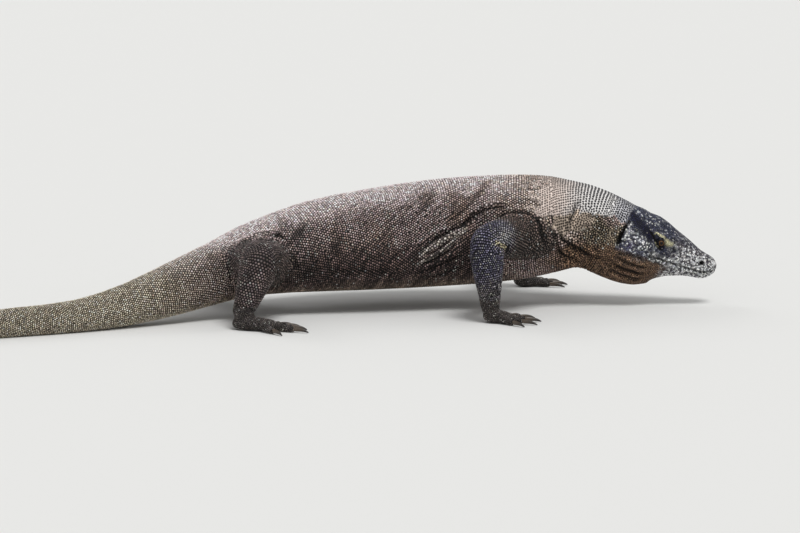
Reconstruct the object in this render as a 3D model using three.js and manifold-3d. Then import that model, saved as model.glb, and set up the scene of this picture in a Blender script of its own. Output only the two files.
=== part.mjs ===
// Komodo dragon: an adult of about 2.5 m, walking low with its head near the ground.
// Millimetres, +Z up, +X towards the snout, +Y to the animal's left.
// While it is made, x = 0 is at the hips. At the end the whole animal is moved so that the origin
// is the middle of its bounding box on the floor.
import * as THREE from "three";
import { mergeVertices } from "three/addons/utils/BufferGeometryUtils.js";
import Module from "manifold-3d";

const wasm = await Module();
wasm.setup();

// ---- Driving sizes ----
const GAP = 0.35; // width of the thin cuts between neighbouring pieces
const BLADE = 400; // size of a cutting blade, wider than any limb or jaw
const FLOOR = 6000; // size of the block that keeps what is above the floor
const BODY_SIDES = 22;
const RINGS_PER_SPAN = 2;
const LIMB_SIDES = 11;
const TOE_SIDES = 6;
const CLAW_SIDES = 5;
const BALL_SIDES = 10;
const MOUTH_STEPS = 10;
const SCRAP = 2000; // what a cut leaves inside the body is smaller than this, in cubic millimetres
const END_ROUND = 0.45; // how far a free end bulges, as a share of its height
const EYE_RADIUS = 9.5;
const EYE = { station: "temple", across: 42, over: 12, along: -6.5 }; // centre of an eyeball

// The body's stations from snout to tail tip: where the spine is, the half width, the height above
// and the depth below it, and how square the section is (2 is an ellipse). "low" moves the widest
// level down, as on a belly. "piece" names the piece that starts behind a station.
const BODY = [
  { name: "lip", at: [1067, -89, 76], wide: 18, up: 18, down: 20, square: 2.3, piece: "head" },
  { name: "snout", at: [1061, -88, 81], wide: 28, up: 23, down: 27, square: 2.5, low: 0.05 },
  { name: "nostril", at: [1053, -87, 87], wide: 33, up: 27, down: 31, square: 2.7, low: 0.1 },
  { name: "muzzle", at: [1026, -82, 99], wide: 36, up: 31, down: 38, square: 2.8, low: 0.16 },
  { name: "bridge", at: [1000, -77, 113], wide: 39, up: 39, down: 53, square: 2.8, low: 0.2 },
  { name: "bridgeEnd", at: [969, -71, 128], wide: 45, up: 49, down: 70, square: 2.7, low: 0.2 },
  { name: "temple", at: [937, -64, 137], wide: 52, up: 69, down: 84, square: 2.5, low: 0.12 },
  { name: "jawCorner", at: [901, -57, 140], wide: 64, up: 83, down: 98, square: 2.3, low: 0.06 },
  { name: "ear", at: [866, -50, 149], wide: 69, up: 86, down: 100, square: 2.15, low: 0.04 },
  { name: "nape", at: [822, -41, 166], wide: 75, up: 92, down: 98, square: 2.1, piece: "neck" },
  { name: "neck", at: [770, -29, 184], wide: 85, up: 98, down: 97, square: 2.1, low: 0.04 },
  { name: "neckBase", at: [706, -10, 182], wide: 100, up: 117, down: 110, piece: "chest" },
  { name: "shoulder", at: [640, 7, 178], wide: 119, up: 124, down: 120, square: 2.1, low: 0.1 },
  { name: "chest", at: [556, 25, 173], wide: 134, up: 127, down: 124, square: 2.15, low: 0.16 },
  { name: "back", at: [430, 43, 168], wide: 147, up: 123, down: 126, low: 0.2, piece: "belly" },
  { name: "belly", at: [290, 45, 159], wide: 147, up: 114, down: 119, square: 2.2, low: 0.22 },
  { name: "loin", at: [140, 28, 145], wide: 126, up: 105, down: 105, low: 0.2, piece: "pelvis" },
  { name: "hip", at: [0, 0, 121], wide: 100, up: 84, down: 81, square: 2.1, low: 0.14 },
  { name: "tailRoot", at: [-100, -42, 98], wide: 72, up: 70, down: 68, low: 0.1, piece: "tail_1" },
  { name: "tailBase", at: [-200, -90, 74], wide: 56, up: 61, down: 60, square: 2, low: 0.12 },
  { name: "tailFlank", at: [-305, -133, 51], wide: 46, up: 48, down: 49, square: 2, low: 0.16 },
  { name: "tailThird", at: [-425, -174, 36], wide: 38, up: 36, down: 40, square: 2, low: 0.2 },
  { name: "tailHalf", at: [-560, -212, 32], wide: 31, up: 33, down: 35, piece: "tail_2" },
  { name: "tailBow", at: [-705, -236, 28], wide: 25, up: 29, down: 31, square: 2, low: 0.26 },
  { name: "tailBend", at: [-870, -234, 24], wide: 19, up: 26, down: 26, low: 0.26, piece: "tail_3" },
  { name: "tailWhip", at: [-1040, -190, 18], wide: 14, up: 20, down: 19.5, square: 2, low: 0.24 },
  { name: "tailEnd", at: [-1205, -118, 12], wide: 9, up: 13.5, down: 13, square: 2, low: 0.2 },
  { name: "tailTip", at: [-1345, -36, 6], wide: 3.5, up: 5, down: 6.5, square: 2 },
];

// The mouth runs from the lips back under the eye, and the jaw's rear edge then drops to the throat.
// "over" is the height from the spine, and "back" shifts a point towards the neck.
const MOUTH = [
  { station: "lip", back: -30, over: -3 },
  { station: "lip", back: 6, over: -4 },
  { station: "nostril", back: 0, over: -12 },
  { station: "muzzle", back: 0, over: -17 },
  { station: "bridge", back: 0, over: -23 },
  { station: "bridgeEnd", back: 0, over: -27 },
  { station: "temple", back: 4, over: -26 },
  { station: "temple", back: 22, over: -40 },
  { station: "temple", back: 32, over: -68 },
  { station: "temple", back: 32, over: -100 },
  { station: "temple", back: 26, over: -150 },
];

// Swellings of the head. "across", "over" and "along" place the centre at a station, and "size" is
// the half length, half width and half height.
const SWELLINGS = [
  { station: "temple", across: 36, over: 30, along: -10, size: [36, 11, 8], sides: 10 }, // brow
  { station: "jawCorner", across: 31, over: 4, along: 20, size: [50, 38, 56], sides: 12 }, // jaw
  { station: "nostril", across: 22, over: 10, along: 8, size: [24, 13, 12], sides: 8 },
];
const HOLLOWS = [
  { station: "muzzle", across: 37, over: 8, along: -10, size: [6, 5, 4], sides: 6 },
  { station: "ear", across: 74, over: 14, along: 20, size: [5, 9, 26], sides: 8 },
];

// Toes from the inner one to the outer one: length, turn from the foot's heading in degrees, and
// where the root lies across the palm.
const FORE_TOES = [
  { length: 34, turn: -52, root: -24 },
  { length: 46, turn: -26, root: -15 },
  { length: 52, turn: -3, root: 0 },
  { length: 48, turn: 20, root: 15 },
  { length: 36, turn: 46, root: 24 },
];
const HIND_TOES = [
  { length: 34, turn: -34, root: -22 },
  { length: 48, turn: -18, root: -13 },
  { length: 62, turn: -4, root: -2 },
  { length: 74, turn: 10, root: 10 },
  { length: 44, turn: 44, root: 24 },
];

// The two kinds of limb: radii along it ("flat" thins the root from above), and the foot.
const KINDS = {
  fore: {
    girth: { root: 72, upper: 56, bend: 40, calf: 41, end: 26, flat: 0.88 },
    foot: { palm: 46, wide: 33, thick: 13, toes: FORE_TOES, toe: 9.5, claw: 36 },
    names: ["forefoot", "forearm", "upper_arm"],
  },
  hind: {
    girth: { root: 90, upper: 70, bend: 46, calf: 43, end: 28, flat: 0.74 },
    foot: { palm: 78, wide: 33, thick: 13, toes: HIND_TOES, toe: 9.5, claw: 33 },
    names: ["hindfoot", "shank", "thigh"],
  },
};

// The four limbs in stride: the joint inside the body, the elbow or knee, and the wrist or ankle.
const LIMBS = [
  {
    kind: "fore",
    side: -1,
    root: [646, -50, 172],
    bend: [493, -231, 182],
    end: [500, -248, 44],
    heading: -14,
  },
  {
    kind: "fore",
    side: 1,
    root: [648, 60, 170],
    bend: [640, 232, 166],
    end: [694, 250, 42],
    heading: 24,
  },
  {
    kind: "hind",
    side: -1,
    root: [2, -40, 122],
    bend: [-16, -204, 147],
    end: [-60, -230, 44],
    heading: -22,
  },
  {
    kind: "hind",
    side: 1,
    root: [-14, 40, 118],
    bend: [-42, 188, 96],
    end: [-146, 222, 44],
    heading: 30,
  },
];

const SKIN_BROWN = new THREE.Color().setRGB(0.3, 0.26, 0.23);
const HEAD_SLATE = new THREE.Color().setRGB(0.13, 0.13, 0.17);
const LEG_SLATE = new THREE.Color().setRGB(0.17, 0.16, 0.17);

const materials = {
  body: new THREE.MeshStandardMaterial({ color: SKIN_BROWN, roughness: 0.75, metalness: 0 }),
  head: new THREE.MeshStandardMaterial({ color: HEAD_SLATE, roughness: 0.6, metalness: 0 }),
  legs: new THREE.MeshStandardMaterial({ color: LEG_SLATE, roughness: 0.7, metalness: 0 }),
  eye: new THREE.MeshStandardMaterial({ color: 0x2a1a0c, roughness: 0.1, metalness: 0 }),
  claw: new THREE.MeshStandardMaterial({ color: 0x2e2820, roughness: 0.4, metalness: 0 }),
};

// ---- Solids ----

// A closed geometry as a manifold-3d solid.
function solid(geometry) {
  const bare = geometry.index ? geometry.toNonIndexed() : geometry.clone();
  bare.deleteAttribute("normal");
  bare.deleteAttribute("uv");
  const merged = mergeVertices(bare, 1e-4);
  return new wasm.Manifold(
    new wasm.Mesh({
      numProp: 3,
      vertProperties: merged.getAttribute("position").array,
      triVerts: new Uint32Array(merged.index.array),
    }),
  );
}

// A solid as a three.js geometry.
function geometryOf(shape) {
  const mesh = shape.getMesh();
  const places = new Float32Array(mesh.numVert * 3);
  for (let i = 0; i < mesh.numVert; i++) {
    places.set(mesh.vertProperties.subarray(i * mesh.numProp, i * mesh.numProp + 3), i * 3);
  }
  const geometry = new THREE.BufferGeometry();
  geometry.setAttribute("position", new THREE.BufferAttribute(places, 3));
  geometry.setIndex(new THREE.BufferAttribute(mesh.triVerts, 1));
  geometry.computeVertexNormals();
  return geometry;
}

// A smooth path through stations, which gives the place, size and axes of the section at any point.
class Path {
  constructor(stations, reference = new THREE.Vector3(0, 0, 1)) {
    this.stations = stations;
    this.reference = reference;
    this.line = new THREE.CatmullRomCurve3(stations.map((s) => new THREE.Vector3(...s.at)));
    this.size = new THREE.CatmullRomCurve3(
      stations.map((s) => new THREE.Vector3(s.wide, s.up, s.down)),
      false,
      "catmullrom",
      0.5,
    );
    this.shape = new THREE.CatmullRomCurve3(
      stations.map((s) => new THREE.Vector3(s.square ?? 2.1, s.low ?? 0, 0)),
      false,
      "catmullrom",
      0.5,
    );
  }

  // The share of the path at which a named station lies.
  share(name) {
    return this.stations.findIndex((s) => s.name === name) / (this.stations.length - 1);
  }

  section(share) {
    const centre = this.line.getPoint(share);
    const ahead = this.line.getTangent(share);
    const side = new THREE.Vector3().crossVectors(ahead, this.reference).normalize();
    const over = new THREE.Vector3().crossVectors(side, ahead).normalize();
    const size = this.size.getPoint(share);
    const shape = this.shape.getPoint(share);
    return { centre, ahead, side, over, size, shape };
  }

  // The share of the path a short way ahead of a named station.
  shareAhead(name, distance) {
    const span = 1 / (this.stations.length - 1);
    const share = this.share(name);
    const reach = this.line.getPoint(share).distanceTo(this.line.getPoint(share - span));
    return share - (span * distance) / reach;
  }

  // The point at a share of the path, moved sideways, over and along the path.
  point(share, across, above, along = 0) {
    const { centre, ahead, side, over } = this.section(share);
    return centre
      .clone()
      .addScaledVector(side, across)
      .addScaledVector(over, above)
      .addScaledVector(ahead, along);
  }
}

// One point of a section's outline, at a turn measured from the side towards the top.
function outline(section, turn, grow) {
  const { centre, side, over, size, shape } = section;
  const power = 2 / shape.x;
  const across = Math.sign(Math.cos(turn)) * Math.abs(Math.cos(turn)) ** power;
  const above = Math.sign(Math.sin(turn)) * Math.abs(Math.sin(turn)) ** power;
  const wide = (size.x + grow) * (1 - shape.y * above);
  const tall = (above > 0 ? size.y : size.z) + grow;
  return centre.clone().addScaledVector(side, across * wide).addScaledVector(over, above * tall);
}

// A closed solid lofted along a path, or along a length of it from one share to another. A free end
// closes on a rounded point, and a parted one is flat.
function loft(path, sides, rings, { from = 0, to = 1, grow = 0 } = {}) {
  const places = [];
  for (let ring = 0; ring <= rings; ring++) {
    const section = path.section(from + ((to - from) * ring) / rings);
    for (let k = 0; k < sides; k++) {
      places.push(...outline(section, (2 * Math.PI * (k + 0.5)) / sides, grow));
    }
  }
  const centre = places.length / 3;
  const start = path.section(from);
  const stop = path.section(to);
  const startBulge = from > 0 ? 0 : END_ROUND * start.size.y + grow;
  const stopBulge = to < 1 ? 0 : END_ROUND * stop.size.y + grow;
  places.push(...start.centre.addScaledVector(start.ahead, -startBulge));
  places.push(...stop.centre.addScaledVector(stop.ahead, stopBulge));
  const faces = [];
  for (let k = 0; k < sides; k++) {
    const next = (k + 1) % sides;
    for (let ring = 0; ring < rings; ring++) {
      const a = ring * sides + k;
      const b = ring * sides + next;
      faces.push(a, b + sides, b, a, a + sides, b + sides);
    }
    faces.push(centre, k, next);
    faces.push(centre + 1, rings * sides + next, rings * sides + k);
  }
  return closed(places, faces);
}

function closed(places, faces) {
  const geometry = new THREE.BufferGeometry();
  geometry.setAttribute("position", new THREE.Float32BufferAttribute(places, 3));
  geometry.setIndex(faces);
  return solid(geometry);
}

// An ellipsoid centred at a point, with its axes along a section's ahead, side and over.
function ellipsoid(section, centre, [long, wide, tall], sides) {
  const geometry = new THREE.SphereGeometry(1, sides, sides / 2);
  const axes = new THREE.Matrix4().makeBasis(
    section.ahead.clone().multiplyScalar(long),
    section.side.clone().multiplyScalar(-wide),
    section.over.clone().multiplyScalar(tall),
  );
  axes.setPosition(centre);
  geometry.applyMatrix4(axes);
  return solid(geometry);
}

// A thin flat blade across a path.
function blade(centre, direction) {
  const geometry = new THREE.BoxGeometry(GAP, BLADE, BLADE);
  const turn = new THREE.Quaternion();
  turn.setFromUnitVectors(new THREE.Vector3(1, 0, 0), direction.clone().normalize());
  const axes = new THREE.Matrix4().makeRotationFromQuaternion(turn);
  axes.setPosition(centre);
  geometry.applyMatrix4(axes);
  return solid(geometry);
}

const floorBox = new THREE.BoxGeometry(FLOOR, FLOOR, FLOOR);
floorBox.translate(0, 0, FLOOR / 2);
const aboveFloor = solid(floorBox);

// A named mesh in a group.
function addPiece(group, name, shape, material) {
  const mesh = new THREE.Mesh(geometryOf(shape), material);
  mesh.name = name;
  group.add(mesh);
}

// ---- Head, trunk and tail ----
const spine = new Path(BODY);
const bodyRings = (BODY.length - 1) * RINGS_PER_SPAN;
const grownBody = loft(spine, BODY_SIDES, bodyRings, { grow: GAP });

// An ellipsoid at a station of the spine, on one side.
function headForm({ station, across, over, along, size, sides }, side) {
  const share = spine.share(station);
  const centre = spine.point(share, side * across, over, along);
  return ellipsoid(spine.section(share), centre, size, sides);
}

function eyeball(side, radius) {
  return headForm({ ...EYE, size: [radius, radius, radius], sides: BALL_SIDES }, side);
}

// The thin curved blade between the upper and the lower jaw.
function mouthBlade() {
  const line = new THREE.CatmullRomCurve3(
    MOUTH.map((m) => spine.point(spine.share(m.station), 0, m.over, m.back)),
  );
  const across = spine.section(spine.share("temple")).side;
  const reach = across.clone().multiplyScalar(BLADE / 2);
  const places = [];
  for (let step = 0; step <= MOUTH_STEPS; step++) {
    const centre = line.getPoint(step / MOUTH_STEPS);
    const lift = new THREE.Vector3().crossVectors(across, line.getTangent(step / MOUTH_STEPS));
    for (const [a, b] of [[-1, -1], [1, -1], [1, 1], [-1, 1]]) {
      places.push(...centre.clone().addScaledVector(reach, a).addScaledVector(lift, (b * GAP) / 2));
    }
  }
  const last = MOUTH_STEPS * 4;
  const faces = [0, 1, 2, 0, 2, 3, last, last + 2, last + 1, last, last + 3, last + 2];
  for (let step = 0; step < MOUTH_STEPS; step++) {
    for (let k = 0; k < 4; k++) {
      const a = step * 4 + k;
      const b = step * 4 + ((k + 1) % 4);
      faces.push(a, b + 4, b, a, a + 4, b + 4);
    }
  }
  return closed(places, faces);
}

function addHead(group, length) {
  let head = length;
  for (const side of [-1, 1]) {
    for (const form of SWELLINGS) {
      head = head.add(headForm(form, side));
    }
  }
  for (const side of [-1, 1]) {
    for (const form of HOLLOWS) {
      head = head.subtract(headForm(form, side));
    }
    head = head.subtract(eyeball(side, EYE_RADIUS + GAP));
    addPiece(group, side > 0 ? "left_eye" : "right_eye", eyeball(side, EYE_RADIUS), materials.eye);
  }
  const jaws = head.subtract(mouthBlade()).intersect(aboveFloor).decompose();
  jaws.sort((a, b) => b.volume() - a.volume());
  addPiece(group, "head", jaws[0], materials.head);
  addPiece(group, "lower_jaw", jaws[1], materials.head);
}

function bodyGroup() {
  const group = new THREE.Group();
  const starts = BODY.filter((station) => station.piece);
  starts.forEach(({ name, piece }, i) => {
    const from = spine.share(name);
    const to = i + 1 < starts.length ? spine.shareAhead(starts[i + 1].name, GAP) : 1;
    const rings = Math.round((to - from) * bodyRings);
    const length = loft(spine, BODY_SIDES, rings, { from, to });
    if (piece === "head") {
      addHead(group, length);
    } else {
      addPiece(group, piece, length.intersect(aboveFloor), materials.body);
    }
  });
  return group;
}

// ---- Limbs ----
const vector = (at) => new THREE.Vector3(...at);
const middle = (a, b, share) => a.clone().lerp(b, share);
const wayFrom = (a, b) => b.clone().sub(a).normalize();

function round(at, radius, flat = 1) {
  return { at: at.toArray(), wide: radius, up: radius * flat, down: radius * flat };
}

// The level direction in which a limb's foot points, turned outwards by an angle in degrees.
function heading(limb, turn = 0) {
  const angle = THREE.MathUtils.degToRad(limb.heading + turn * limb.side);
  return new THREE.Vector3(Math.cos(angle), Math.sin(angle), 0);
}

// Upper arm or thigh, from inside the body to just past the elbow or knee.
function upperLimb(girth, root, bend) {
  const past = bend.clone().addScaledVector(wayFrom(root, bend), girth.bend * 0.72);
  const stations = [
    round(root, girth.root, girth.flat),
    round(middle(root, bend, 0.38), girth.upper * 1.08, girth.flat),
    round(middle(root, bend, 0.72), girth.upper * 0.84, (1 + girth.flat) / 2),
    round(bend, girth.bend * 0.98),
    round(past, girth.bend * 0.42),
  ];
  return loft(new Path(stations), LIMB_SIDES, stations.length);
}

// Forearm or shank, from just above the elbow or knee down into the foot.
function lowerLimb(limb, girth, bend, end) {
  const above = bend.clone().addScaledVector(wayFrom(end, bend), girth.bend * 0.6);
  const inFoot = end.clone().setZ(end.z - girth.end * 0.75);
  const stations = [
    round(above, girth.bend * 0.45),
    round(bend, girth.bend * 0.96),
    round(middle(bend, end, 0.36), girth.calf, 0.95),
    round(middle(bend, end, 0.72), girth.calf * 0.82, 0.9),
    round(end, girth.end, 0.95),
    round(inFoot, girth.end * 0.8, 0.9),
  ];
  return loft(new Path(stations, heading(limb)), LIMB_SIDES, stations.length);
}

function palm(limb, foot) {
  const forward = heading(limb);
  const slice = (along, height, wide, tall) => {
    const at = vector(limb.end)
      .addScaledVector(forward, along * foot.palm)
      .setZ(height * foot.thick);
    return {
      at: at.toArray(),
      wide: wide * foot.wide,
      up: tall * foot.thick,
      down: tall * foot.thick,
      square: 2.3,
    };
  };
  const stations = [
    slice(-0.3, 1, 0.45, 0.7),
    slice(0, 1.25, 0.8, 1.35),
    slice(0.4, 1.1, 0.95, 1.15),
    slice(0.8, 0.9, 0.9, 1),
    slice(0.98, 0.7, 0.6, 0.6),
  ];
  return loft(new Path(stations), BALL_SIDES, stations.length - 1);
}

// Where a toe starts, its direction, and the level at which its last joint and its claw lie.
function toeLine(limb, foot, toe) {
  const start = vector(limb.end)
    .setZ(0)
    .addScaledVector(heading(limb), foot.palm * 0.62)
    .addScaledVector(heading(limb, 90), toe.root);
  return { start, along: heading(limb, toe.turn), level: foot.toe * 0.82 };
}

// A toe, ending flat where its claw begins.
function toeLoft(limb, foot, toe) {
  const { start, along, level } = toeLine(limb, foot, toe);
  const slice = (share, height, radius) => {
    const at = start.clone().addScaledVector(along, share * toe.length).setZ(height);
    return round(at, radius * foot.toe);
  };
  const stations = [
    slice(-0.35, foot.toe * 1.4, 1.1),
    slice(0.15, foot.toe * 1.25, 1.15),
    slice(0.65, level, 0.92),
    slice(1, level, 0.84),
    slice(1.3, level, 0.8),
  ];
  return loft(new Path(stations), TOE_SIDES, 3, { to: 0.75 });
}

// A claw, which starts flat at the toe's end and curves down to its point.
function clawLoft(limb, foot, toe) {
  const { start, along, level } = toeLine(limb, foot, toe);
  const slice = (share, drop, radius) => {
    const at = start
      .clone()
      .addScaledVector(along, toe.length + GAP + share * foot.claw)
      .setZ(level * (1 - drop));
    return { at: at.toArray(), wide: radius * 0.72, up: radius, down: radius, square: 2 };
  };
  const stations = [
    slice(-0.3, 0, 6),
    slice(0, 0, 6.4),
    slice(0.36, 0, 5.4),
    slice(0.7, 0.24, 3.6),
    slice(0.95, 0.72, 1.1),
  ];
  return loft(new Path(stations), CLAW_SIDES, 3, { from: 0.25 });
}

function limbGroup(limb) {
  const { girth, foot, names } = KINDS[limb.kind];
  const [root, bend, end] = [limb.root, limb.bend, limb.end].map(vector);
  const sideName = limb.side > 0 ? "left" : "right";
  let whole = upperLimb(girth, root, bend).add(lowerLimb(limb, girth, bend, end));
  whole = whole.add(palm(limb, foot));
  for (const toe of foot.toes) {
    whole = whole.add(toeLoft(limb, foot, toe));
  }
  const bendWay = wayFrom(root, bend).add(wayFrom(bend, end));
  const pieces = whole
    .subtract(grownBody)
    .intersect(aboveFloor)
    .subtract(blade(bend, bendWay))
    .subtract(blade(end.clone().setZ(end.z + girth.end / 3), new THREE.Vector3(0, 0, 1)))
    .decompose()
    .filter((piece) => piece.volume() > SCRAP);
  pieces.sort((a, b) => a.boundingBox().max[2] - b.boundingBox().max[2]);
  const group = new THREE.Group();
  pieces.forEach((piece, i) => addPiece(group, sideName + "_" + names[i], piece, materials.legs));
  foot.toes.forEach((toe, i) => {
    const name = sideName + "_" + limb.kind + "_claw_" + (i + 1);
    addPiece(group, name, clawLoft(limb, foot, toe).intersect(aboveFloor), materials.claw);
  });
  return group;
}

// ---- The animal ----
const dragon = new THREE.Group();
dragon.add(bodyGroup(), ...LIMBS.map(limbGroup));
const box = new THREE.Box3().setFromObject(dragon);
const centre = box.getCenter(new THREE.Vector3());
dragon.position.set(-centre.x, -centre.y, -box.min.z);

export default dragon;
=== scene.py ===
import math
from contextlib import contextmanager

import bpy
import numpy as np
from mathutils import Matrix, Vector, noise
from mathutils.bvhtree import BVHTree
from mathutils.kdtree import KDTree


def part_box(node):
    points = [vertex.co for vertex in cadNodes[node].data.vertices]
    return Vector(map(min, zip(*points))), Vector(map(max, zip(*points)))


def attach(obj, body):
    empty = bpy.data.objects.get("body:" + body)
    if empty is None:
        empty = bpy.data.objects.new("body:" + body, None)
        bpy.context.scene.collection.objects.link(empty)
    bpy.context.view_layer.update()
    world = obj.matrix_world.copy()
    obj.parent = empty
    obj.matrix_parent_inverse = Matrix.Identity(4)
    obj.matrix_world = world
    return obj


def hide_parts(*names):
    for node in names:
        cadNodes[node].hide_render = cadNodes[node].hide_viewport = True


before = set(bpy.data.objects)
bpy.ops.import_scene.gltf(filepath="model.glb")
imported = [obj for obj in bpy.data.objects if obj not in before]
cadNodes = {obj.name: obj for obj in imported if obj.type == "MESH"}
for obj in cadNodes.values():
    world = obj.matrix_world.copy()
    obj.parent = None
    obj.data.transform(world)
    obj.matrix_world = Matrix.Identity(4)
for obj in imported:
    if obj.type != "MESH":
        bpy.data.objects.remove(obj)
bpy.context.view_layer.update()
draws = np.random.default_rng(11)

# ---- Camera, floor and light ----
camera = {"azimuth": -12.0, "elevation": 8.5, "distance": 9.0, "lens": 174.15}
aim = (0.4955, 0.0725, 0.084)
light = {
    "keyFrom": (0.15, -0.45, 1.0),
    "key": 1.7,
    "fillFrom": (-0.5, 0.9, 0.7),
    "fill": 0.3,
    "spread": 24,
    "sky": 0.45,
    "behind": 0.82,
    "floor": 0.8,
    "floorSize": 24,
}


def makeCamera():
    turn = math.radians(camera["azimuth"])
    lift = math.radians(camera["elevation"])
    back = Vector((math.sin(turn) * math.cos(lift), -math.cos(turn) * math.cos(lift), math.sin(lift)))
    bpy.ops.object.camera_add(location=Vector(aim) + back * camera["distance"])
    eye = bpy.context.object
    eye.name = "camera"
    eye.rotation_euler = back.to_track_quat("Z", "Y").to_euler()
    eye.data.lens = camera["lens"]
    eye.data.clip_end = 60
    bpy.context.scene.camera = eye


def newMaterial(name):
    material = bpy.data.materials.new(name)
    material.use_nodes = True
    return material, material.node_tree.nodes, material.node_tree.links


def addNode(nodes, kind, **settings):
    node = nodes.new("ShaderNode" + kind)
    for key, value in settings.items():
        setattr(node, key, value)
    return node


def setInputs(node, values):
    for key, value in values.items():
        node.inputs[key].default_value = value


def makeFloor():
    bpy.ops.mesh.primitive_plane_add(size=light["floorSize"])
    floor = bpy.context.object
    floor.name = "floor"
    material, nodes, links = newMaterial("floorPaper")
    paper = light["floor"]
    setInputs(nodes["Principled BSDF"], {"Base Color": (paper, paper, paper * 0.98, 1), "Roughness": 0.9})
    floor.data.materials.append(material)


def makeSun(name):
    way = Vector(light[name + "From"])
    bpy.ops.object.light_add(type="SUN", location=way * 3)
    lamp = bpy.context.object
    lamp.name = name + "Sun"
    lamp.rotation_euler = way.to_track_quat("Z", "Y").to_euler()
    lamp.data.angle = math.radians(light["spread"])
    lamp.data.energy = light[name]


def makeSky():
    # one strength lights the animal, another is seen behind it and in what shines
    world = bpy.data.worlds.new("studio")
    bpy.context.scene.world = world
    world.use_nodes = True
    nodes = world.node_tree.nodes
    links = world.node_tree.links
    lit = nodes["Background"]
    setInputs(lit, {"Strength": light["sky"], "Color": (1, 1, 1, 1)})
    seen = addNode(nodes, "Background")
    setInputs(seen, {"Strength": light["behind"], "Color": (1, 1, 0.98, 1)})
    ray = addNode(nodes, "LightPath")
    share = ray.outputs["Is Camera Ray"]
    for other in ("Is Glossy Ray", "Is Transmission Ray"):
        either = addNode(nodes, "Math", operation="MAXIMUM")
        links.new(share, either.inputs[0])
        links.new(ray.outputs[other], either.inputs[1])
        share = either.outputs[0]
    mix = addNode(nodes, "MixShader")
    for place, source in enumerate((share, lit.outputs[0], seen.outputs[0])):
        links.new(source, mix.inputs[place])
    links.new(mix.outputs[0], nodes["World Output"].inputs["Surface"])
    bpy.context.scene.view_settings.view_transform = "Standard"


makeCamera()
makeFloor()
makeSun("key")
makeSun("fill")
makeSky()
print("camera, floor and light are in place")

# ---- The solids of flesh, and the lines that run through them ----
trunkParts = ["head", "lower_jaw", "neck", "chest", "belly", "pelvis", "tail_1", "tail_2", "tail_3"]
limbParts = {"fore": ["upper_arm", "forearm", "forefoot"], "hind": ["thigh", "shank", "hindfoot"]}
sides = {"right": -1, "left": 1}

# the spine from the lips to the tail tip
spineCorners = [
    (1.205, -0.095, 0.074), (1.162, -0.087, 0.098), (1.103, -0.076, 0.128), (1.035, -0.062, 0.140),
    (0.956, -0.046, 0.166), (0.904, -0.034, 0.184), (0.840, -0.015, 0.182), (0.774, 0.002, 0.178),
    (0.690, 0.020, 0.173), (0.564, 0.038, 0.168), (0.424, 0.040, 0.159), (0.274, 0.023, 0.145),
    (0.134, -0.005, 0.121), (0.034, -0.047, 0.098), (-0.066, -0.095, 0.074), (-0.171, -0.138, 0.051),
    (-0.291, -0.179, 0.036), (-0.426, -0.217, 0.032), (-0.571, -0.241, 0.028), (-0.736, -0.239, 0.024),
    (-0.906, -0.195, 0.018), (-1.071, -0.123, 0.012), (-1.211, -0.041, 0.006),
]
# each limb from its root over the elbow or knee to the wrist or ankle
limbCorners = {
    "right_fore": [(0.780, -0.055, 0.172), (0.627, -0.236, 0.182), (0.634, -0.253, 0.044)],
    "left_fore": [(0.782, 0.055, 0.170), (0.774, 0.227, 0.166), (0.828, 0.245, 0.042)],
    "right_hind": [(0.136, -0.045, 0.122), (0.118, -0.209, 0.147), (0.074, -0.235, 0.044)],
    "left_hind": [(0.120, 0.035, 0.118), (0.092, 0.183, 0.096), (-0.012, 0.217, 0.044)],
}


def partsOf(limb):
    side, kind = limb.split("_")
    return [f"{side}_{part}" for part in limbParts[kind]]


fleshParts = trunkParts + [part for limb in limbCorners for part in partsOf(limb)]


def runOf(line):
    # how far each point of a line is from its start
    return np.concatenate([[0], np.cumsum(np.linalg.norm(np.diff(line, axis=0), axis=1))])


def onLine(places, run, values):
    # a line's values, such as its points, at those distances from its start
    return np.stack([np.interp(places, run, values[:, k]) for k in range(3)], -1)


def roundedLine(corners, step=0.002, cuts=24):
    # evenly spaced points on a smooth line through the corners
    corners = np.array(corners, float)
    first = 2 * corners[0] - corners[1]
    last = 2 * corners[-1] - corners[-2]
    held = np.vstack([first, corners, last])
    share = np.linspace(0, 1, cuts, endpoint=False)[:, None]
    runs = []
    for k in range(1, len(held) - 2):
        a, b, c, d = held[k - 1 : k + 3]
        second = 2 * a - 5 * b + 4 * c - d
        third = 3 * b - a - 3 * c + d
        runs.append(b + 0.5 * ((c - a) * share + second * share**2 + third * share**3))
    runs.append(corners[-1:])
    line = np.vstack(runs)
    run = runOf(line)
    even = np.linspace(0, run[-1], max(2, int(run[-1] / step)))
    return onLine(even, run, line)


def unit(vectors):
    return vectors / np.maximum(np.linalg.norm(vectors, axis=-1, keepdims=True), 1e-9)


def valuesOf(items, key, width=1, kind=np.int32):
    flat = np.empty(len(items) * width, kind)
    items.foreach_get(key, flat)
    return flat


def placesOf(items, key):
    return valuesOf(items, key, 3, np.float32).reshape(-1, 3).astype(float)


def pointsOf(piece):
    return placesOf(piece.data.vertices, "co")


def normalsOf(piece):
    return placesOf(piece.data.vertex_normals, "vector")


def putPoints(piece, points):
    piece.data.vertices.foreach_set("co", points.astype(np.float32).ravel())
    piece.data.update()


def putValues(mesh, name, kind, domain, values):
    layer = mesh.attributes.new(name, kind, domain)
    values = np.asarray(values, np.int32 if kind == "INT" else np.float32)
    layer.data.foreach_set("color" if kind == "FLOAT_COLOR" else "value", values.ravel())


def treeOf(piece):
    return BVHTree.FromObject(piece, bpy.context.evaluated_depsgraph_get())


def nearestOf(tree, points, wanted):
    # the place, normal, face or gap of the nearest spot on a piece, for each point
    order = ("place", "normal", "face", "gap").index(wanted)
    return np.array([tree.find_nearest(Vector(point))[order] for point in points])


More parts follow.
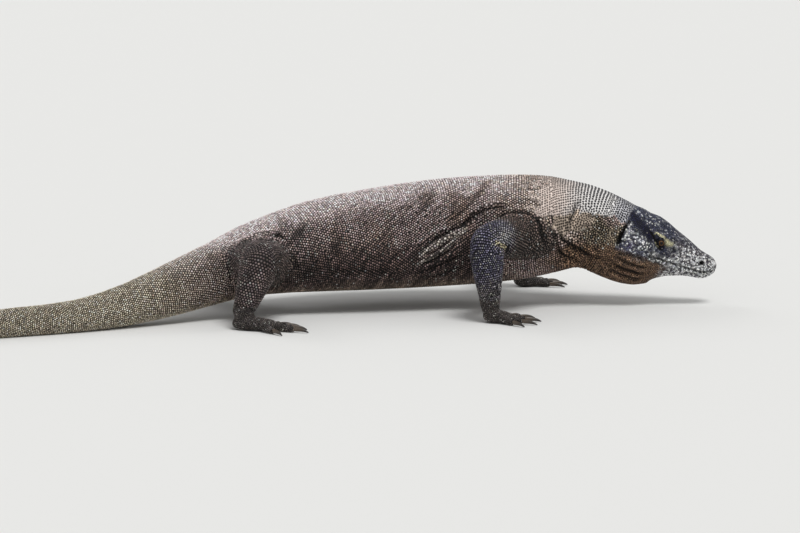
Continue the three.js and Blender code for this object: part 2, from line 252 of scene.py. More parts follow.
def pick(piece):
    bpy.ops.object.select_all(action="DESELECT")
    piece.select_set(True)
    bpy.context.view_layer.objects.active = piece


@contextmanager
def editMode(action="SELECT"):
    bpy.ops.object.mode_set(mode="EDIT")
    if action:
        bpy.ops.mesh.select_all(action=action)
    yield
    bpy.ops.object.mode_set(mode="OBJECT")


def joinedCopy(parts, name):
    # one piece with a copy of some solids, its loose triangles merged
    bpy.ops.object.select_all(action="DESELECT")
    for number, part in enumerate(parts):
        copy = bpy.data.objects.new(part + "Copy", cadNodes[part].data.copy())
        putValues(copy.data, "part", "INT", "FACE", np.full(len(copy.data.polygons), number))
        bpy.context.collection.objects.link(copy)
        copy.select_set(True)
        bpy.context.view_layer.objects.active = copy
    if len(parts) > 1:
        bpy.ops.object.join()
    whole = bpy.context.object
    whole.name = name
    whole.data.name = name
    whole.data.materials.clear()
    with editMode():
        bpy.ops.mesh.remove_doubles(threshold=0.00001)
    return whole


def applyModifier(piece, kind, **values):
    pick(piece)
    modifier = piece.modifiers.new(kind.lower(), kind)
    for key, value in values.items():
        setattr(modifier, key, value)
    bpy.ops.object.modifier_apply(modifier=modifier.name)


class Tube:
    # a limb or the trunk as a line with a way up: places on it are metres from its start, and degrees
    # from the top towards the right side, or towards the front of a limb
    def __init__(self, corners, forward=1):
        self.line = roundedLine(corners)
        self.run = runOf(self.line)
        self.ahead = unit(np.gradient(self.line, axis=0))
        up = np.array([0.0, 0.0, 1.0])
        ups = []
        for ahead in self.ahead:
            up = up - ahead * (up @ ahead)
            up = up / np.linalg.norm(up)
            ups.append(up)
        self.up = np.array(ups)
        self.side = np.cross(self.up, self.ahead) * forward
        self.tree = KDTree(len(self.line))
        for place, point in enumerate(self.line):
            self.tree.insert(point, place)
        self.tree.balance()

    def locate(self, points):
        near = np.array([self.tree.find(point)[1] for point in points])
        off = points - self.line[near]
        turn = np.degrees(np.arctan2((off * self.side[near]).sum(1), (off * self.up[near]).sum(1)))
        return self.run[near], turn, np.linalg.norm(off, axis=1)

    def frameAt(self, along):
        parts = [self.line, self.ahead, self.up, self.side]
        return [onLine(along, self.run, part) for part in parts]


spine = Tube(spineCorners)
limbs = {}
for limb, corners in limbCorners.items():
    limbs[limb] = Tube(corners, 1 if limb.startswith("right") else -1)

# ---- The skin ----
skin = {
    "voxel": 0.0026,
    "overlap": 0.0005,  # closes the thin cuts before the solids become one
    "coatDepth": 0.0016,
    "rounds": 200,
    "triangles": 186000,
    "fineBack": 262,  # the head has finer faces, as far behind the snout's tip
    "fineFrom": 0.9,
}
# how much each part is rounded, as the square of a distance in millimetres
rounding = {
    "head": 12, "lower_jaw": 12, "neck": 110, "chest": 150, "belly": 160, "pelvis": 130, "tail_1": 34,
    "tail_2": 12, "tail_3": 3, "upper_arm": 80, "forearm": 45, "forefoot": 6, "thigh": 120, "shank": 50,
    "hindfoot": 6,
}
# the head's own directions, from the tip of the snout
headTip = np.array((1.228, -0.100, 0.086))
headBack = np.array((-0.8897, 0.1729, 0.4226))
headUp = np.array((0.4148, -0.0806, 0.9063))
headLeft = np.cross(headBack, headUp)


def inHead(points):
    # millimetres behind the snout's tip, above it, and to the animal's left
    off = (points - headTip) * 1000
    return off @ headBack, off @ headUp, off @ headLeft


def rise(low, high, values):
    share = np.clip((values - low) / (high - low), 0, 1)
    return share * share * (3 - 2 * share)


def hill(values, width):
    return np.exp(-((values / width) ** 2))


def lineDistance(x, y, corners):
    # distance to a line of (x, y) corners, on which side of it, and the share of its length
    corners = np.array(corners, float)
    steps = np.diff(corners, axis=0)
    lengths = np.linalg.norm(steps, axis=1)
    starts = runOf(corners)
    best = np.full(len(x), 1e9)
    side = np.zeros(len(x))
    share = np.zeros(len(x))
    for k, step in enumerate(steps):
        dx = x - corners[k, 0]
        dy = y - corners[k, 1]
        along = np.clip((dx * step[0] + dy * step[1]) / lengths[k] ** 2, 0, 1)
        gap = np.hypot(dx - along * step[0], dy - along * step[1])
        closer = gap < best
        best = np.where(closer, gap, best)
        side = np.where(closer, np.sign(step[0] * dy - step[1] * dx), side)
        share = np.where(closer, (starts[k] + along * lengths[k]) / starts[-1], share)
    return best, side, share


# how far a fold's lip stands off and how wide it is, as multiples of the fold's width, for a fold with
# one lip and with two
lipForms = {"one": (1.7, 1.4), "both": (1.9, 1.1)}


def foldShape(gap, side, share, depth, width, lip=0.0, lipSide=0, fade=0.25):
    # a valley with a swelling beside it, which runs out at both ends
    valley = -depth * hill(gap, width)
    offset, wide = lipForms["one" if lipSide else "both"]
    beside = np.where(side == lipSide, gap, -gap) if lipSide else gap
    swell = lip * hill(beside - offset * width, wide * width)
    ends = rise(0, fade, share) * rise(0, fade, 1 - share) if fade else 1.0
    return (valley + swell) * ends


solids = joinedCopy(fleshParts, "solids")
solidTree = treeOf(solids)
partOfFace = valuesOf(solids.data.attributes["part"].data, "value")


def partsAt(points):
    # which part each point is nearest to, as a place in fleshParts
    return partOfFace[nearestOf(solidTree, points, "face")]


def isPart(owner, *names):
    wanted = [k for k, part in enumerate(fleshParts) if any(part.endswith(name) for name in names)]
    return np.isin(owner, wanted)


def inFineHead(points):
    return (inHead(points)[0] < skin["fineBack"]) & (points[:, 0] > skin["fineFrom"])


def cutFiner(piece, chosen):
    # halves the chosen faces both ways
    pick(piece)
    with editMode("DESELECT"):
        bpy.ops.mesh.select_mode(type="FACE")
    piece.data.polygons.foreach_set("select", chosen)
    with editMode(None):
        bpy.ops.mesh.subdivide(number_cuts=1, smoothness=0)


def smoothBy(piece, amounts, rounds):
    group = piece.vertex_groups.new(name="rounding")
    amounts = np.round(amounts, 2)
    for level in np.unique(amounts):
        if level > 0:
            group.add(np.flatnonzero(amounts == level).tolist(), float(level), "REPLACE")
    applyModifier(piece, "SMOOTH", factor=1.0, iterations=rounds, vertex_group=group.name)
    piece.vertex_groups.clear()


hide = joinedCopy(fleshParts, "hide")
hide.data.attributes.remove(hide.data.attributes["part"])
applyModifier(hide, "DISPLACE", strength=skin["overlap"], mid_level=0.0)
applyModifier(hide, "REMESH", mode="VOXEL", voxel_size=skin["voxel"])
cutFiner(hide, inFineHead(placesOf(hide.data.polygons, "center")))
print("one hide of", len(hide.data.polygons), "faces")
places = pointsOf(hide)
faceSize = np.where(inFineHead(places), skin["voxel"] / 2, skin["voxel"]) * 1000
wanted = np.array([rounding[part.removeprefix("right_").removeprefix("left_")] for part in fleshParts])
wanted = wanted[partsAt(places)] / (skin["rounds"] * faceSize**2 / 8)
smoothBy(hide, np.minimum(wanted, 1), skin["rounds"])
print("the hide is rounded")

# folds of the head: "line" is in millimetres behind the snout's tip and above it, along its axes
headFolds = {
    "mouth": {
        "line": [
            (8, -11), (16, -14), (24, -19), (50, -31), (92, -37), (130, -41), (171, -44), (186, -50),
        ],
        "depth": 3.2, "width": 2.2, "lip": 1.3, "lipSide": 1, "fade": 0.08,
    },
    "upperLip": {
        "line": [(26, -10), (50, -21), (92, -27), (130, -31), (168, -33)],
        "depth": 0.9, "width": 3.0, "lip": 0.5, "lipSide": 1, "fade": 0.2,
    },
    "lowerLip": {
        "line": [(24, -30), (50, -41), (92, -48), (130, -52), (172, -56), (196, -64)],
        "depth": 1.3, "width": 3.4, "lip": 0.6, "lipSide": 1, "fade": 0.2,
    },
    "ear": {
        "line": [(254, 8), (258, -11), (259, -31), (257, -46), (254, -60)],
        "depth": 11, "width": 3.4, "lip": 3.4, "lipSide": 1, "fade": 0.35,
    },
    "behindEye": {
        "line": [(212, 17), (197, 6), (187, 0), (179, -7), (170, -16), (157, -22), (142, -25)],
        "depth": 2.8, "width": 2.4, "lip": 1.2, "lipSide": 1, "fade": 0.3,
    },
    "overEye": {
        "line": [(192, 4), (181, 5), (166, 3.5), (152, 1)],
        "depth": 1.5, "width": 1.8, "lip": 0.8, "lipSide": 1, "fade": 0.3,
    },
    "jawUnder": {
        "line": [(262, -74), (240, -67), (220, -60), (190, -57), (168, -58)],
        "depth": 3.2, "width": 5, "lip": 2.0, "lipSide": -1, "fade": 0.3,
    },
    "throatFirst": {
        "line": [(150, -66), (180, -77), (215, -81), (262, -80)],
        "depth": 2.8, "width": 4, "lip": 1.8, "lipSide": 0, "fade": 0.3,
    },
    "throatSecond": {
        "line": [(152, -78), (180, -93), (215, -98), (262, -96)],
        "depth": 3.2, "width": 4, "lip": 2.0, "lipSide": 0, "fade": 0.3,
    },
    "throatThird": {
        "line": [(154, -90), (180, -108), (215, -114), (262, -110)],
        "depth": 3.0, "width": 4, "lip": 2.0, "lipSide": 0, "fade": 0.3,
    },
    "temple": {
        "line": [(216, 34), (226, 20), (238, 12)],
        "depth": 1.4, "width": 6, "lip": 0.6, "lipSide": 0, "fade": 0.4,
    },
}
# how far behind the snout's tip the head is sculpted, where its flanks begin out from the midline, and
# where the snout's front ends: only the mouth's line crosses the midline, there
headReach = {"back": 300, "forward": 0.85, "flank": (4, 14), "front": (24, 6)}
# swellings of the head's sides: centre behind and above the tip, half sizes and height, millimetres
headSwells = {
    "browRidge": {"at": (168, 12), "size": (30, 5.5), "high": 1.6},
    "beforeEye": {"at": (126, -6), "size": (18, 8), "high": -1.8},
    "cheekBall": {"at": (220, -30), "size": (26, 24), "high": 2.6},
    "canthus": {"at": (92, 4), "size": (36, 5), "high": 1.6},
    "snoutSide": {"at": (88, -14), "size": (26, 8), "high": -1.4},
    "nostrilRim": {"at": (55, -9), "size": (13, 9), "high": 2.0},
    "nostrilPit": {"at": (56, -11), "size": (4.8, 3.4), "high": -8.0},
    "chin": {"at": (40, -46), "size": (26, 8), "high": 1.2},
}
# "ball" is the eyeball's radius in metres, and "lid", "deep" and "depths" are millimetres from it. The
# opening is "long" and "high"; "reach", "rim" and "hole" are multiples of it. "forward" and "up" turn
# the gaze
eyeShape = {
    "ball": 0.0095,
    "long": 7.2,
    "high": 5.4,
    "lid": 1.2,
    "deep": 1.8,
    "reach": 2.2,
    "rim": 1.25,
    "hole": (1.12, 0.9),
    "depths": (-14, 30),
    "forward": 0.10,
    "up": 0.16,
}


def sculptHead(piece):
    points = pointsOf(piece)
    normals = normalsOf(piece)
    back, up, out = inHead(points)
    near = np.flatnonzero((back < headReach["back"]) & (points[:, 0] > headReach["forward"]))
    back = back[near]
    up = up[near]
    flank = rise(*headReach["flank"], np.abs(out[near]))
    front = rise(*headReach["front"], back)
    shift = np.zeros(len(near))
    for name, fold in headFolds.items():
        gap, side, share = lineDistance(back, up, fold["line"])
        values = {key: value for key, value in fold.items() if key != "line"}
        shape = foldShape(gap, side, share, **values)
        shift += shape * (np.maximum(flank, front) if name == "mouth" else flank)
    for swell in headSwells.values():
        long, high = swell["size"]
        far = np.hypot((back - swell["at"][0]) / long, (up - swell["at"][1]) / high)
        shift += swell["high"] * hill(far, 1) * flank
    points[near] += normals[near] * shift[:, None] / 1000
    putPoints(piece, points)
    whole = np.zeros(len(points))
    whole[near] = shift
    return whole


def eyeCentre(side):
    low, high = np.array(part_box(side + "_eye"))
    return (low + high) / 2


def eyeFrame(side, sign):
    # an eyeball's centre, where it looks, and the ways to the rear and above across it
    facing = unit(headLeft * sign - headBack * eyeShape["forward"] + headUp * eyeShape["up"])
    rear = unit(headBack - facing * (headBack @ facing))
    above = np.cross(facing, rear)
    return eyeCentre(side), facing, rear, above if above @ headUp > 0 else -above


def sculptLids(piece):
    # the skin turns in round each eyeball, with a rim that stands just off it
    points = pointsOf(piece)
    for side, sign in sides.items():
        centre, facing, rear, above = eyeFrame(side, sign)
        off = (points - centre) * 1000
        deep = off @ facing
        across = np.hypot((off @ rear) / eyeShape["long"], (off @ above) / eyeShape["high"])
        lowest, highest = eyeShape["depths"]
        near = np.flatnonzero((across < eyeShape["reach"]) & (deep > lowest) & (deep < highest))
        ball = eyeShape["ball"] * 1000
        flat = np.minimum(np.hypot((off @ rear)[near], (off @ above)[near]), ball * 1.3)
        onBall = np.sqrt(np.maximum((ball + eyeShape["lid"]) ** 2 - flat**2, 0))
        inside = np.sqrt(np.maximum((ball - eyeShape["deep"]) ** 2 - flat**2, 0))
        ring = across[near]
        lidShare = rise(eyeShape["reach"], eyeShape["rim"], ring)
        target = deep[near] * (1 - lidShare) + onBall * lidShare
        hole = rise(*eyeShape["hole"], ring)
        target = target * (1 - hole) + np.minimum(inside, target) * hole
        points[near] += facing * (target - deep[near])[:, None] / 1000
    putPoints(piece, points)


# folds of the trunk and the limbs: corners (metres along, degrees round), depth, width and lip in
# millimetres, and on which side the lip is when it has only one
bodyFolds = {
    "spine": [
        # over the arm, in front of it and down the flank
        ([(0.412, 110), (0.418, 94), (0.422, 83), (0.432, 75.5), (0.444, 72), (0.458, 69.5), (0.474, 69),
          (0.494, 68), (0.512, 70), (0.532, 75), (0.545, 81)], 6.5, 4.4, 2.4),
        ([(0.462, 68), (0.478, 65), (0.496, 62), (0.518, 60), (0.540, 60), (0.560, 63.5), (0.582, 69),
          (0.602, 75), (0.621, 80), (0.641, 83.5), (0.665, 86.5), (0.689, 89.5), (0.709, 93.5),
          (0.725, 97), (0.755, 103)], 5.0, 4.8, 2.8),
        ([(0.404, 78), (0.395, 92), (0.386, 106), (0.380, 122)], 3.0, 4.4, 2.0),
        ([(0.604, 78), (0.618, 83.5), (0.632, 89), (0.657, 95), (0.691, 100.5), (0.731, 106)],
          4.8, 4.8, 3.0),
        ([(0.606, 86), (0.641, 96.5), (0.659, 101.5), (0.691, 106.5), (0.725, 111), (0.75, 114)],
          4.8, 5.0, 3.0),
        ([(0.60, 103), (0.639, 109), (0.685, 113.5), (0.725, 117), (0.765, 119)], 3.2, 4.4, 2.0),
        ([(0.61, 116), (0.67, 124), (0.74, 129)], 2.2, 5.0, 1.4),
        ([(0.575, 52), (0.60, 61), (0.625, 68), (0.66, 76)], 1.6, 4.0, 1.0),
        ([(0.535, 20), (0.566, 39), (0.600, 54), (0.633, 70)], 2.0, 7.0, 1.2),
        ([(0.66, 30), (0.70, 52), (0.74, 76)], 1.0, 8.0, 0.6),
        # neck
        ([(0.332, 38), (0.342, 56), (0.350, 76), (0.360, 100)], 3.4, 3.4, 2.2, 1),
        ([(0.385, 84), (0.372, 104), (0.342, 118), (0.300, 128), (0.268, 132)], 5.0, 5.0, 3.4, 1),
        ([(0.392, 112), (0.372, 128), (0.336, 142), (0.298, 150)], 4.2, 5.0, 2.6, 1),
        ([(0.302, 60), (0.304, 84), (0.300, 108)], 1.8, 4.0, 1.2),
        ([(0.282, 52), (0.280, 74), (0.276, 96)], 1.6, 3.6, 1.0),
        ([(0.374, 50), (0.382, 70), (0.390, 88)], 1.0, 5.0, 0.8),
        ([(0.262, 138), (0.256, 156), (0.252, 176)], 1.4, 5.0, 1.0),
        ([(0.296, 146), (0.288, 162), (0.284, 178)], 1.4, 5.0, 1.0),
        ([(0.330, 152), (0.324, 166), (0.320, 179)], 1.3, 5.0, 0.9),
        # groin, hip and tail root
        ([(1.215, 68), (1.191, 59), (1.165, 52), (1.137, 48.5), (1.111, 49), (1.085, 52), (1.067, 58),
          (1.055, 66), (1.050, 77)], 4.6, 5.0, 2.2),
        ([(1.056, 80), (1.051, 92), (1.049, 108)], 3.4, 5.0, 1.8),
        ([(1.03, 76), (1.012, 92), (1.006, 110)], 1.4, 7.0, 1.0),
        ([(0.99, 84), (0.974, 100), (0.97, 116)], 1.0, 7.0, 0.8),
        ([(0.80, 116), (0.87, 114), (0.94, 112), (1.0, 114)], 2.2, 7.0, 1.6),
        ([(1.226, 102), (1.221, 116), (1.22, 132)], 1.8, 8.0, 1.0),
    ],
    "fore": [
        # top of the arm
        ([(0.135, -18), (0.122, 4), (0.116, 30)], 1.6, 3.4, 0.8),
        # wrist and inside of the elbow
        ([(0.372, -170), (0.366, -90), (0.368, 0), (0.366, 90), (0.372, 170)], 1.4, 3.0, 0.8),
        ([(0.352, 40), (0.348, 90), (0.352, 150)], 1.2, 3.0, 0.6),
        ([(0.205, 100), (0.21, 140), (0.212, 179)], 3.0, 4.0, 1.6),
        ([(0.235, 110), (0.238, 145), (0.24, 179)], 2.0, 3.4, 1.0),
    ],
    "hind": [
        # top of the thigh, ankle and inside of the knee
        ([(0.115, -70), (0.10, -40), (0.096, 0), (0.10, 40)], 2.2, 4.5, 1.2),
        ([(0.288, -170), (0.284, -90), (0.286, 0), (0.284, 90), (0.288, 170)], 1.4, 3.0, 0.8),
        ([(0.175, 110), (0.178, 145), (0.18, 179)], 3.0, 4.0, 1.6),
    ],
}
# broad forms under the trunk's skin: (along, round), half length and half width, height
bodySwells = [
    ((0.47, 42), (62, 46), 3.0),  # shoulder blade
    ((0.56, 78), (40, 30), -2.0),  # behind the shoulder
    ((1.10, 34), (52, 34), 2.6),  # hip bone
    ((1.02, 60), (36, 40), -2.4),  # before the hip
    ((0.35, 150), (40, 30), 2.0),  # throat
    ((0.84, 100), (120, 50), 2.0),  # belly
]
# how far from the spine the trunk's own surface can be, for places along it
spineReach = [
    (0.0, 0.09), (0.2, 0.13), (0.4, 0.16), (0.6, 0.19), (0.9, 0.19), (1.15, 0.15), (1.3, 0.11), (2.6, 0.06),
]
# where a fold or a swelling is felt: within how many metres of its limb's line, of its own ends and of
# its middle, and how many degrees over the back
carving = {"limb": 0.11, "ends": 0.04, "over": -30, "swell": 0.25}


def tabled(table, along):
    return np.interp(along, *np.array(table).T)


def carveBody(piece):
    points = pointsOf(piece)
    normals = normalsOf(piece)
    shift = np.zeros(len(points))
    owner = partsAt(points)
    for name, tube in {"spine": spine, **limbs}.items():
        along, turn, far = tube.locate(points)
        trunk = name == "spine"
        if trunk:
            near = far < tabled(spineReach, along)
        else:
            near = isPart(owner, *partsOf(name)) & (far < carving["limb"])
        for corners, *shape in bodyFolds[name.split("_")[-1]]:
            first, last = min(corners)[0], max(corners)[0]
            close = near & (along > first - carving["ends"]) & (along < last + carving["ends"])
            for sign in (1, -1) if trunk else (1,):
                mine = np.flatnonzero(close & (turn * sign > carving["over"]))
                if not len(mine):
                    continue
                radius = np.median(far[mine]) * 1000
                line = [(run * 1000, math.radians(angle) * radius) for run, angle in corners]
                x = along[mine] * 1000
                y = np.radians(turn[mine] * sign) * radius
                shift[mine] += foldShape(*lineDistance(x, y, line), *shape)
        for (run, angle), (long, wide), high in bodySwells if trunk else ():
            mine = np.flatnonzero(near & (np.abs(along - run) < carving["swell"]))
            for sign in (1, -1):
                across = np.radians(turn[mine] * sign - angle) * far[mine] * 1000
                away = np.hypot((along[mine] - run) * 1000 / long, across / wide)
                shift[mine] += high * hill(away, 1)
    putPoints(piece, points + normals * shift[:, None] / 1000)
    return shift


creases = carveBody(hide)
print("the body has its folds")
creases += sculptHead(hide)
sculptLids(hide)
bpy.ops.object.shade_smooth()
print("the head has its folds and lids")

# the coat's depth is taken off, so that the scales' tips reach the solids' outline
points = pointsOf(hide)
normals = normalsOf(hide)
putPoints(hide, points - normals * skin["coatDepth"])
hideTree = treeOf(hide)
cornerVerts = valuesOf(hide.data.loops, "vertex_index")
firstCorners = valuesOf(hide.data.polygons, "loop_start")
cornerCounts = np.diff(np.append(firstCorners, len(cornerVerts)))
creaseOfFace = np.add.reduceat(creases[cornerVerts], firstCorners) / cornerCounts


def creaseAt(points):
    # how far the folds have moved the skin there, in millimetres
    return creaseOfFace[nearestOf(hideTree, points, "face")]


def closedTree(parts, name):
    # some solids with the cuts between them closed, to measure on
    piece = joinedCopy(parts, name)
    applyModifier(piece, "DISPLACE", strength=skin["overlap"], mid_level=0.0)
    tree = treeOf(piece)
    bpy.data.objects.remove(piece)
    return tree


trunkTree = closedTree(trunkParts, "trunkSolid")

# ---- Markings with painted light and shade, shared by the skin and the coat ----
# each area's colour between the scales, the colour of their tips, how far down a scale the tip's
# colour reaches, and the share of scales that are pale. In most areas the colour between the scales is
# near black: partly the skin's own darker colour, partly painted shade in the grooves between them
tints = {
    "body": ((0.007, 0.005, 0.004), (0.84, 0.63, 0.60), 0.19, 0.10),
    # painted light: the back's tint is paler, a highlight where the light falls on it from above
    "back": ((0.10, 0.082, 0.080), (0.86, 0.735, 0.73), 0.96, 0.08),
    "band": ((0.010, 0.006, 0.005), (0.36, 0.245, 0.185), 0.22, 0.03),
    # painted shade: the lower flank darker, as shaded from the light above
    "low": ((0.004, 0.003, 0.003), (0.165, 0.110, 0.100), 0.15, 0.06),
    # painted shade: the belly darker brown than its own colour, as in shade under the body
    "belly": ((0.030, 0.022, 0.017), (0.26, 0.20, 0.155), 0.6, 0.0),
    # painted light: the ridges between the flank's folds paler, as the folds' lit lips
    "ridge": ((0.030, 0.026, 0.023), (0.72, 0.64, 0.58), 0.55, 0.10),
    "tail": ((0.044, 0.035, 0.022), (0.86, 0.76, 0.60), 0.74, 0.08),
    "neck": ((0.014, 0.010, 0.008), (0.88, 0.71, 0.62), 0.52, 0.12),
    "collar": ((0.75, 0.645, 0.585), (0.016, 0.011, 0.011), 0.70, 0.0),
    "neckNet": ((0.52, 0.43, 0.35), (0.008, 0.005, 0.004), 0.90, 0.0),
    "neckSide": ((0.008, 0.006, 0.004), (0.42, 0.34, 0.25), 0.22, 0.16),
    "nape": ((0.86, 0.84, 0.82), (0.002, 0.002, 0.008), 0.92, 0.0),
    "napeDark": ((0.66, 0.66, 0.70), (0.004, 0.004, 0.011), 0.95, 0.0),
    "throat": ((0.012, 0.007, 0.004), (0.25, 0.155, 0.100), 0.42, 0.0),
    "head": ((0.007, 0.008, 0.014), (0.075, 0.080, 0.130), 0.35, 0.06),
    "crown": ((0.006, 0.007, 0.014), (0.085, 0.092, 0.140), 0.35, 0.05),
    "temple": ((0.002, 0.002, 0.006), (0.011, 0.012, 0.038), 0.35, 0.02),
    "cheek": ((0.006, 0.007, 0.010), (0.095, 0.095, 0.115), 0.35, 0.10),
    "cheekDark": ((0.008, 0.006, 0.016), (0.045, 0.034, 0.085), 0.35, 0.02),
    "snout": ((0.018, 0.016, 0.018), (0.100, 0.088, 0.105), 0.5, 0.05),
    "lips": ((0.050, 0.050, 0.050), (0.14, 0.14, 0.15), 0.4, 0.05),
    "fleck": ((0.40, 0.41, 0.43), (0.92, 0.92, 0.90), 0.8, 0.0),
    "cream": ((0.42, 0.38, 0.20), (0.86, 0.83, 0.58), 0.8, 0.0),
    # painted shade: near black in the ear's slit, in the fold behind the eye and in the nostril's pit
    "paintedSlitShade": ((0.003, 0.003, 0.003), (0.006, 0.005, 0.005), 0.5, 0.0),
    "shoulder": ((0.009, 0.006, 0.005), (0.25, 0.18, 0.155), 0.20, 0.10),
    "limb": ((0.003, 0.003, 0.008), (0.26, 0.24, 0.34), 0.12, 0.24),
    "dots": ((0.004, 0.004, 0.007), (0.84, 0.80, 0.78), 0.16, 0.0),
    "elbow": ((0.008, 0.006, 0.004), (0.86, 0.72, 0.42), 0.30, 0.0),
    # painted shade: a near-black tint laid where shade falls round the limbs' roots and under the upper arm
    "paintedShade": ((0.002, 0.0015, 0.0015), (0.25, 0.19, 0.165), 0.08, 0.08),
    "thigh": ((0.008, 0.006, 0.006), (0.28, 0.215, 0.205), 0.18, 0.12),
    "lowerLimb": ((0.009, 0.008, 0.010), (0.24, 0.215, 0.225), 0.22, 0.20),
    "foot": ((0.011, 0.009, 0.009), (0.15, 0.13, 0.12), 0.4, 0.08),
}
pale = np.array((0.66, 0.64, 0.60))
# where the tints lie, from the first laid to the last. A tint comes in as each of its values rises from
# the first limit to the second, or along a line, or round a spot. "along" and "until" are metres from
# the lips, "from" and "before" the same with a wavy edge, "round" degrees from the back, and "lower"
# degrees that fall off down the neck. A "ragged" tint has a hard edge, and one that lies "over" another
# shares it.
trunkAreas = [
    # painted light: the top of the back paler, as lit from above
    {"tint": "back", "round": (68, 26), "along": (0.30, 0.42)},
    {"tint": "band", "share": 0.6, "bands": (0.05, 0.4), "along": (0.36, 0.5), "round": (20, 44)},
    {"tint": "band", "share": 0.6, "reach": (4, 17),
     "line": [(540, 50), (566, 86), (600, 119), (621, 147), (650, 167)]},
    # painted shade on the lower flank
    {"tint": "low", "share": 0.95, "round": (80, 102), "along": (0.50, 0.62), "until": (1.25, 1.15)},
    # painted light on the ridges between the flank's folds
    {"tint": "ridge", "share": 0.8, "reach": (2, 8),
     "line": [(606, 181), (641, 192), (665, 201), (691, 209), (709, 216), (735, 226)]},
    {"tint": "ridge", "share": 0.7, "reach": (1, 6),
     "line": [(615, 189), (636, 203), (659, 216), (691, 228), (725, 238), (745, 244)]},
    # painted shade on the belly
    {"tint": "belly", "round": (116, 150), "along": (0.42, 0.55)},
    {"tint": "tail", "along": (1.14, 1.5)},
    # painted shade on the flank in front of the thigh
    {"tint": "paintedShade", "share": 0.75, "spot": (1.062, 93), "size": (0.034, 20)},
    {"tint": "neck", "from": (0.27, 0.31), "before": (0.56, 0.42), "round": (122, 94)},
    {"tint": "neckSide", "along": (0.22, 0.25), "before": (0.37, 0.30), "round": (54, 72)},
    {"tint": "throat", "round": (98, 122), "before": (0.47, 0.36)},
    {"tint": "neckNet", "ragged": True, "before": (0.41, 0.37), "from": (0.29, 0.34), "lower": (94, 74)},
    {"tint": "collar", "ragged": True, "before": (0.49, 0.37), "lower": (62, 50)},
    {"tint": "nape", "over": "collar", "before": (0.38, 0.32)},
    {"tint": "napeDark", "share": 0.85, "over": "collar", "before": (0.292, 0.258)},
    # painted shade on the chest in front of the arm
    {"tint": "paintedShade", "share": 0.75, "spot": (0.408, 94), "size": (0.020, 15)},
]
# the same on a limb, "along" it from its root and "round" it to the front, "under" it on both sides
limbAreas = {
    "fore": [
        {"tint": "shoulder", "along": (0.03, 0.07)},
        {"tint": "limb", "along": (0.15, 0.19)},
        {"tint": "dots", "share": 0.9, "spot": (0.208, 82), "size": (0.030, 32)},
        {"tint": "elbow", "share": 0.9, "reach": (3, 9),
         "line": [(250, 52), (243, 66), (231, 74), (205, 84)]},
        # painted shade on the upper arm's front, and under it
        {"tint": "paintedShade", "share": 0.85, "along": (0.20, 0.165), "round": (56, 104)},
        {"tint": "paintedShade", "share": 0.7, "along": (0.30, 0.24), "under": (104, 130)},
        {"tint": "lowerLimb", "along": (0.30, 0.36)},
    ],
    "hind": [
        {"tint": "thigh", "along": (0.03, 0.08)},
        # painted shade on the thigh's front
        {"tint": "paintedShade", "share": 0.85, "along": (0.24, 0.16), "round": (48, 94)},
        {"tint": "lowerLimb", "along": (0.30, 0.36)},
    ],
}
# on the sides of the head, in millimetres behind the snout's tip and above it, with a tint's lines
# and spots added together
headMarks = {
    "band": [{"line": [(248, 4), (249, -14), (248, -30)], "reach": (2, 8)}],
    "cheek": [{"share": 1.4, "spot": (214, -28), "size": (36, 24)}],
    "cheekDark": [{"share": 0.8, "spot": (228, -38), "size": (9, 13)}],
    "temple": [
        {"line": [(250, 23), (235, 16), (218, 11), (203, 4), (193, -3)], "reach": (5, 13)},
        {"share": 1.1, "spot": (126, -12), "size": (9, 7)},
        {"share": 0.9, "spot": (135, -27), "size": (9, 6)},
        {"share": 0.9, "spot": (165, -9), "size": (17, 12)},
    ],
    # painted shade in the ear's slit, the fold behind the eye and the nostril's pit
    "paintedSlitShade": [
        {"line": headFolds["ear"]["line"][:-1], "reach": (2.5, 6)},
        {"share": 0.9, "line": headFolds["behindEye"]["line"][1:6], "reach": (1, 4)},
        {"spot": headSwells["nostrilPit"]["at"], "size": (7, 5)},
    ],
    "cream": [
        {"line": [(189, 7), (181, 9), (165, 7), (152, 4)], "reach": (1.6, 4.4), "grains": (-0.26, 0.04)},
        {"share": 1.7, "spot": (148, -1.5), "size": (6.5, 5)},
        {"share": 0.9, "spot": (139, 0), "size": (3.5, 4)},
        {"share": 0.8, "line": [(178, -11), (171, -16), (164, -19.5)], "reach": (0.8, 2.8),
         "grains": (-0.3, 0)},
    ],
}
# where the head's areas begin and are full: millimetres behind the snout's tip, above it, or out from
# its midline
headLimits = {
    "flankOut": (6, 16),
    "wholeBack": (262, 254),
    "crownBack": (100, 150),
    "crownUp": (2, 24),
    "snoutBack": (150, 118),
    "ridgeUp": (-2, 12),
    "rimGap": (7, 14),
    "rimBack": (190, 172),
    "rimFront": (10, 22),
    "chinUp": (-62, -48),
    "throatUp": (-50, -66),
    "throatBack": (140, 172),
    "throatEnd": (300, 270),
    "tipBack": (18, 10),
    "tipUp": (-20, -12),
}
# white flecks of each area: how strong they are, and from which grains on. Those on the crown are
# painted glints of light on its scales
fleckKinds = {
    "crown": (0.45, 0.24, 0.36),
    "cheek": (0.75, 0.10, 0.26),
    "lips": (0.90, -0.02, 0.14),
    "band": (0.80, -0.20, 0.10),
}
# how much the patches, the streaks, the folds and their lips darken or lighten the skin: the
# folds' darkening is painted shade in their valleys, and their lips' lightening a painted highlight
shading = {
    "broad": 0.20, "middle": 0.24, "fine": 0.20, "valley": 0.85, "lip": 0.65, "least": 0.1, "chalk": 0.86,
}
# how far patches move the areas' edges along and round, how the neck's lower edge falls for metres
# along from where, and the millimetres of a degree round the trunk and of a radian round a limb
edges = {"along": 0.012, "round": 9, "fall": 140, "fallFrom": 0.27, "trunk": 2.2, "limb": 38}
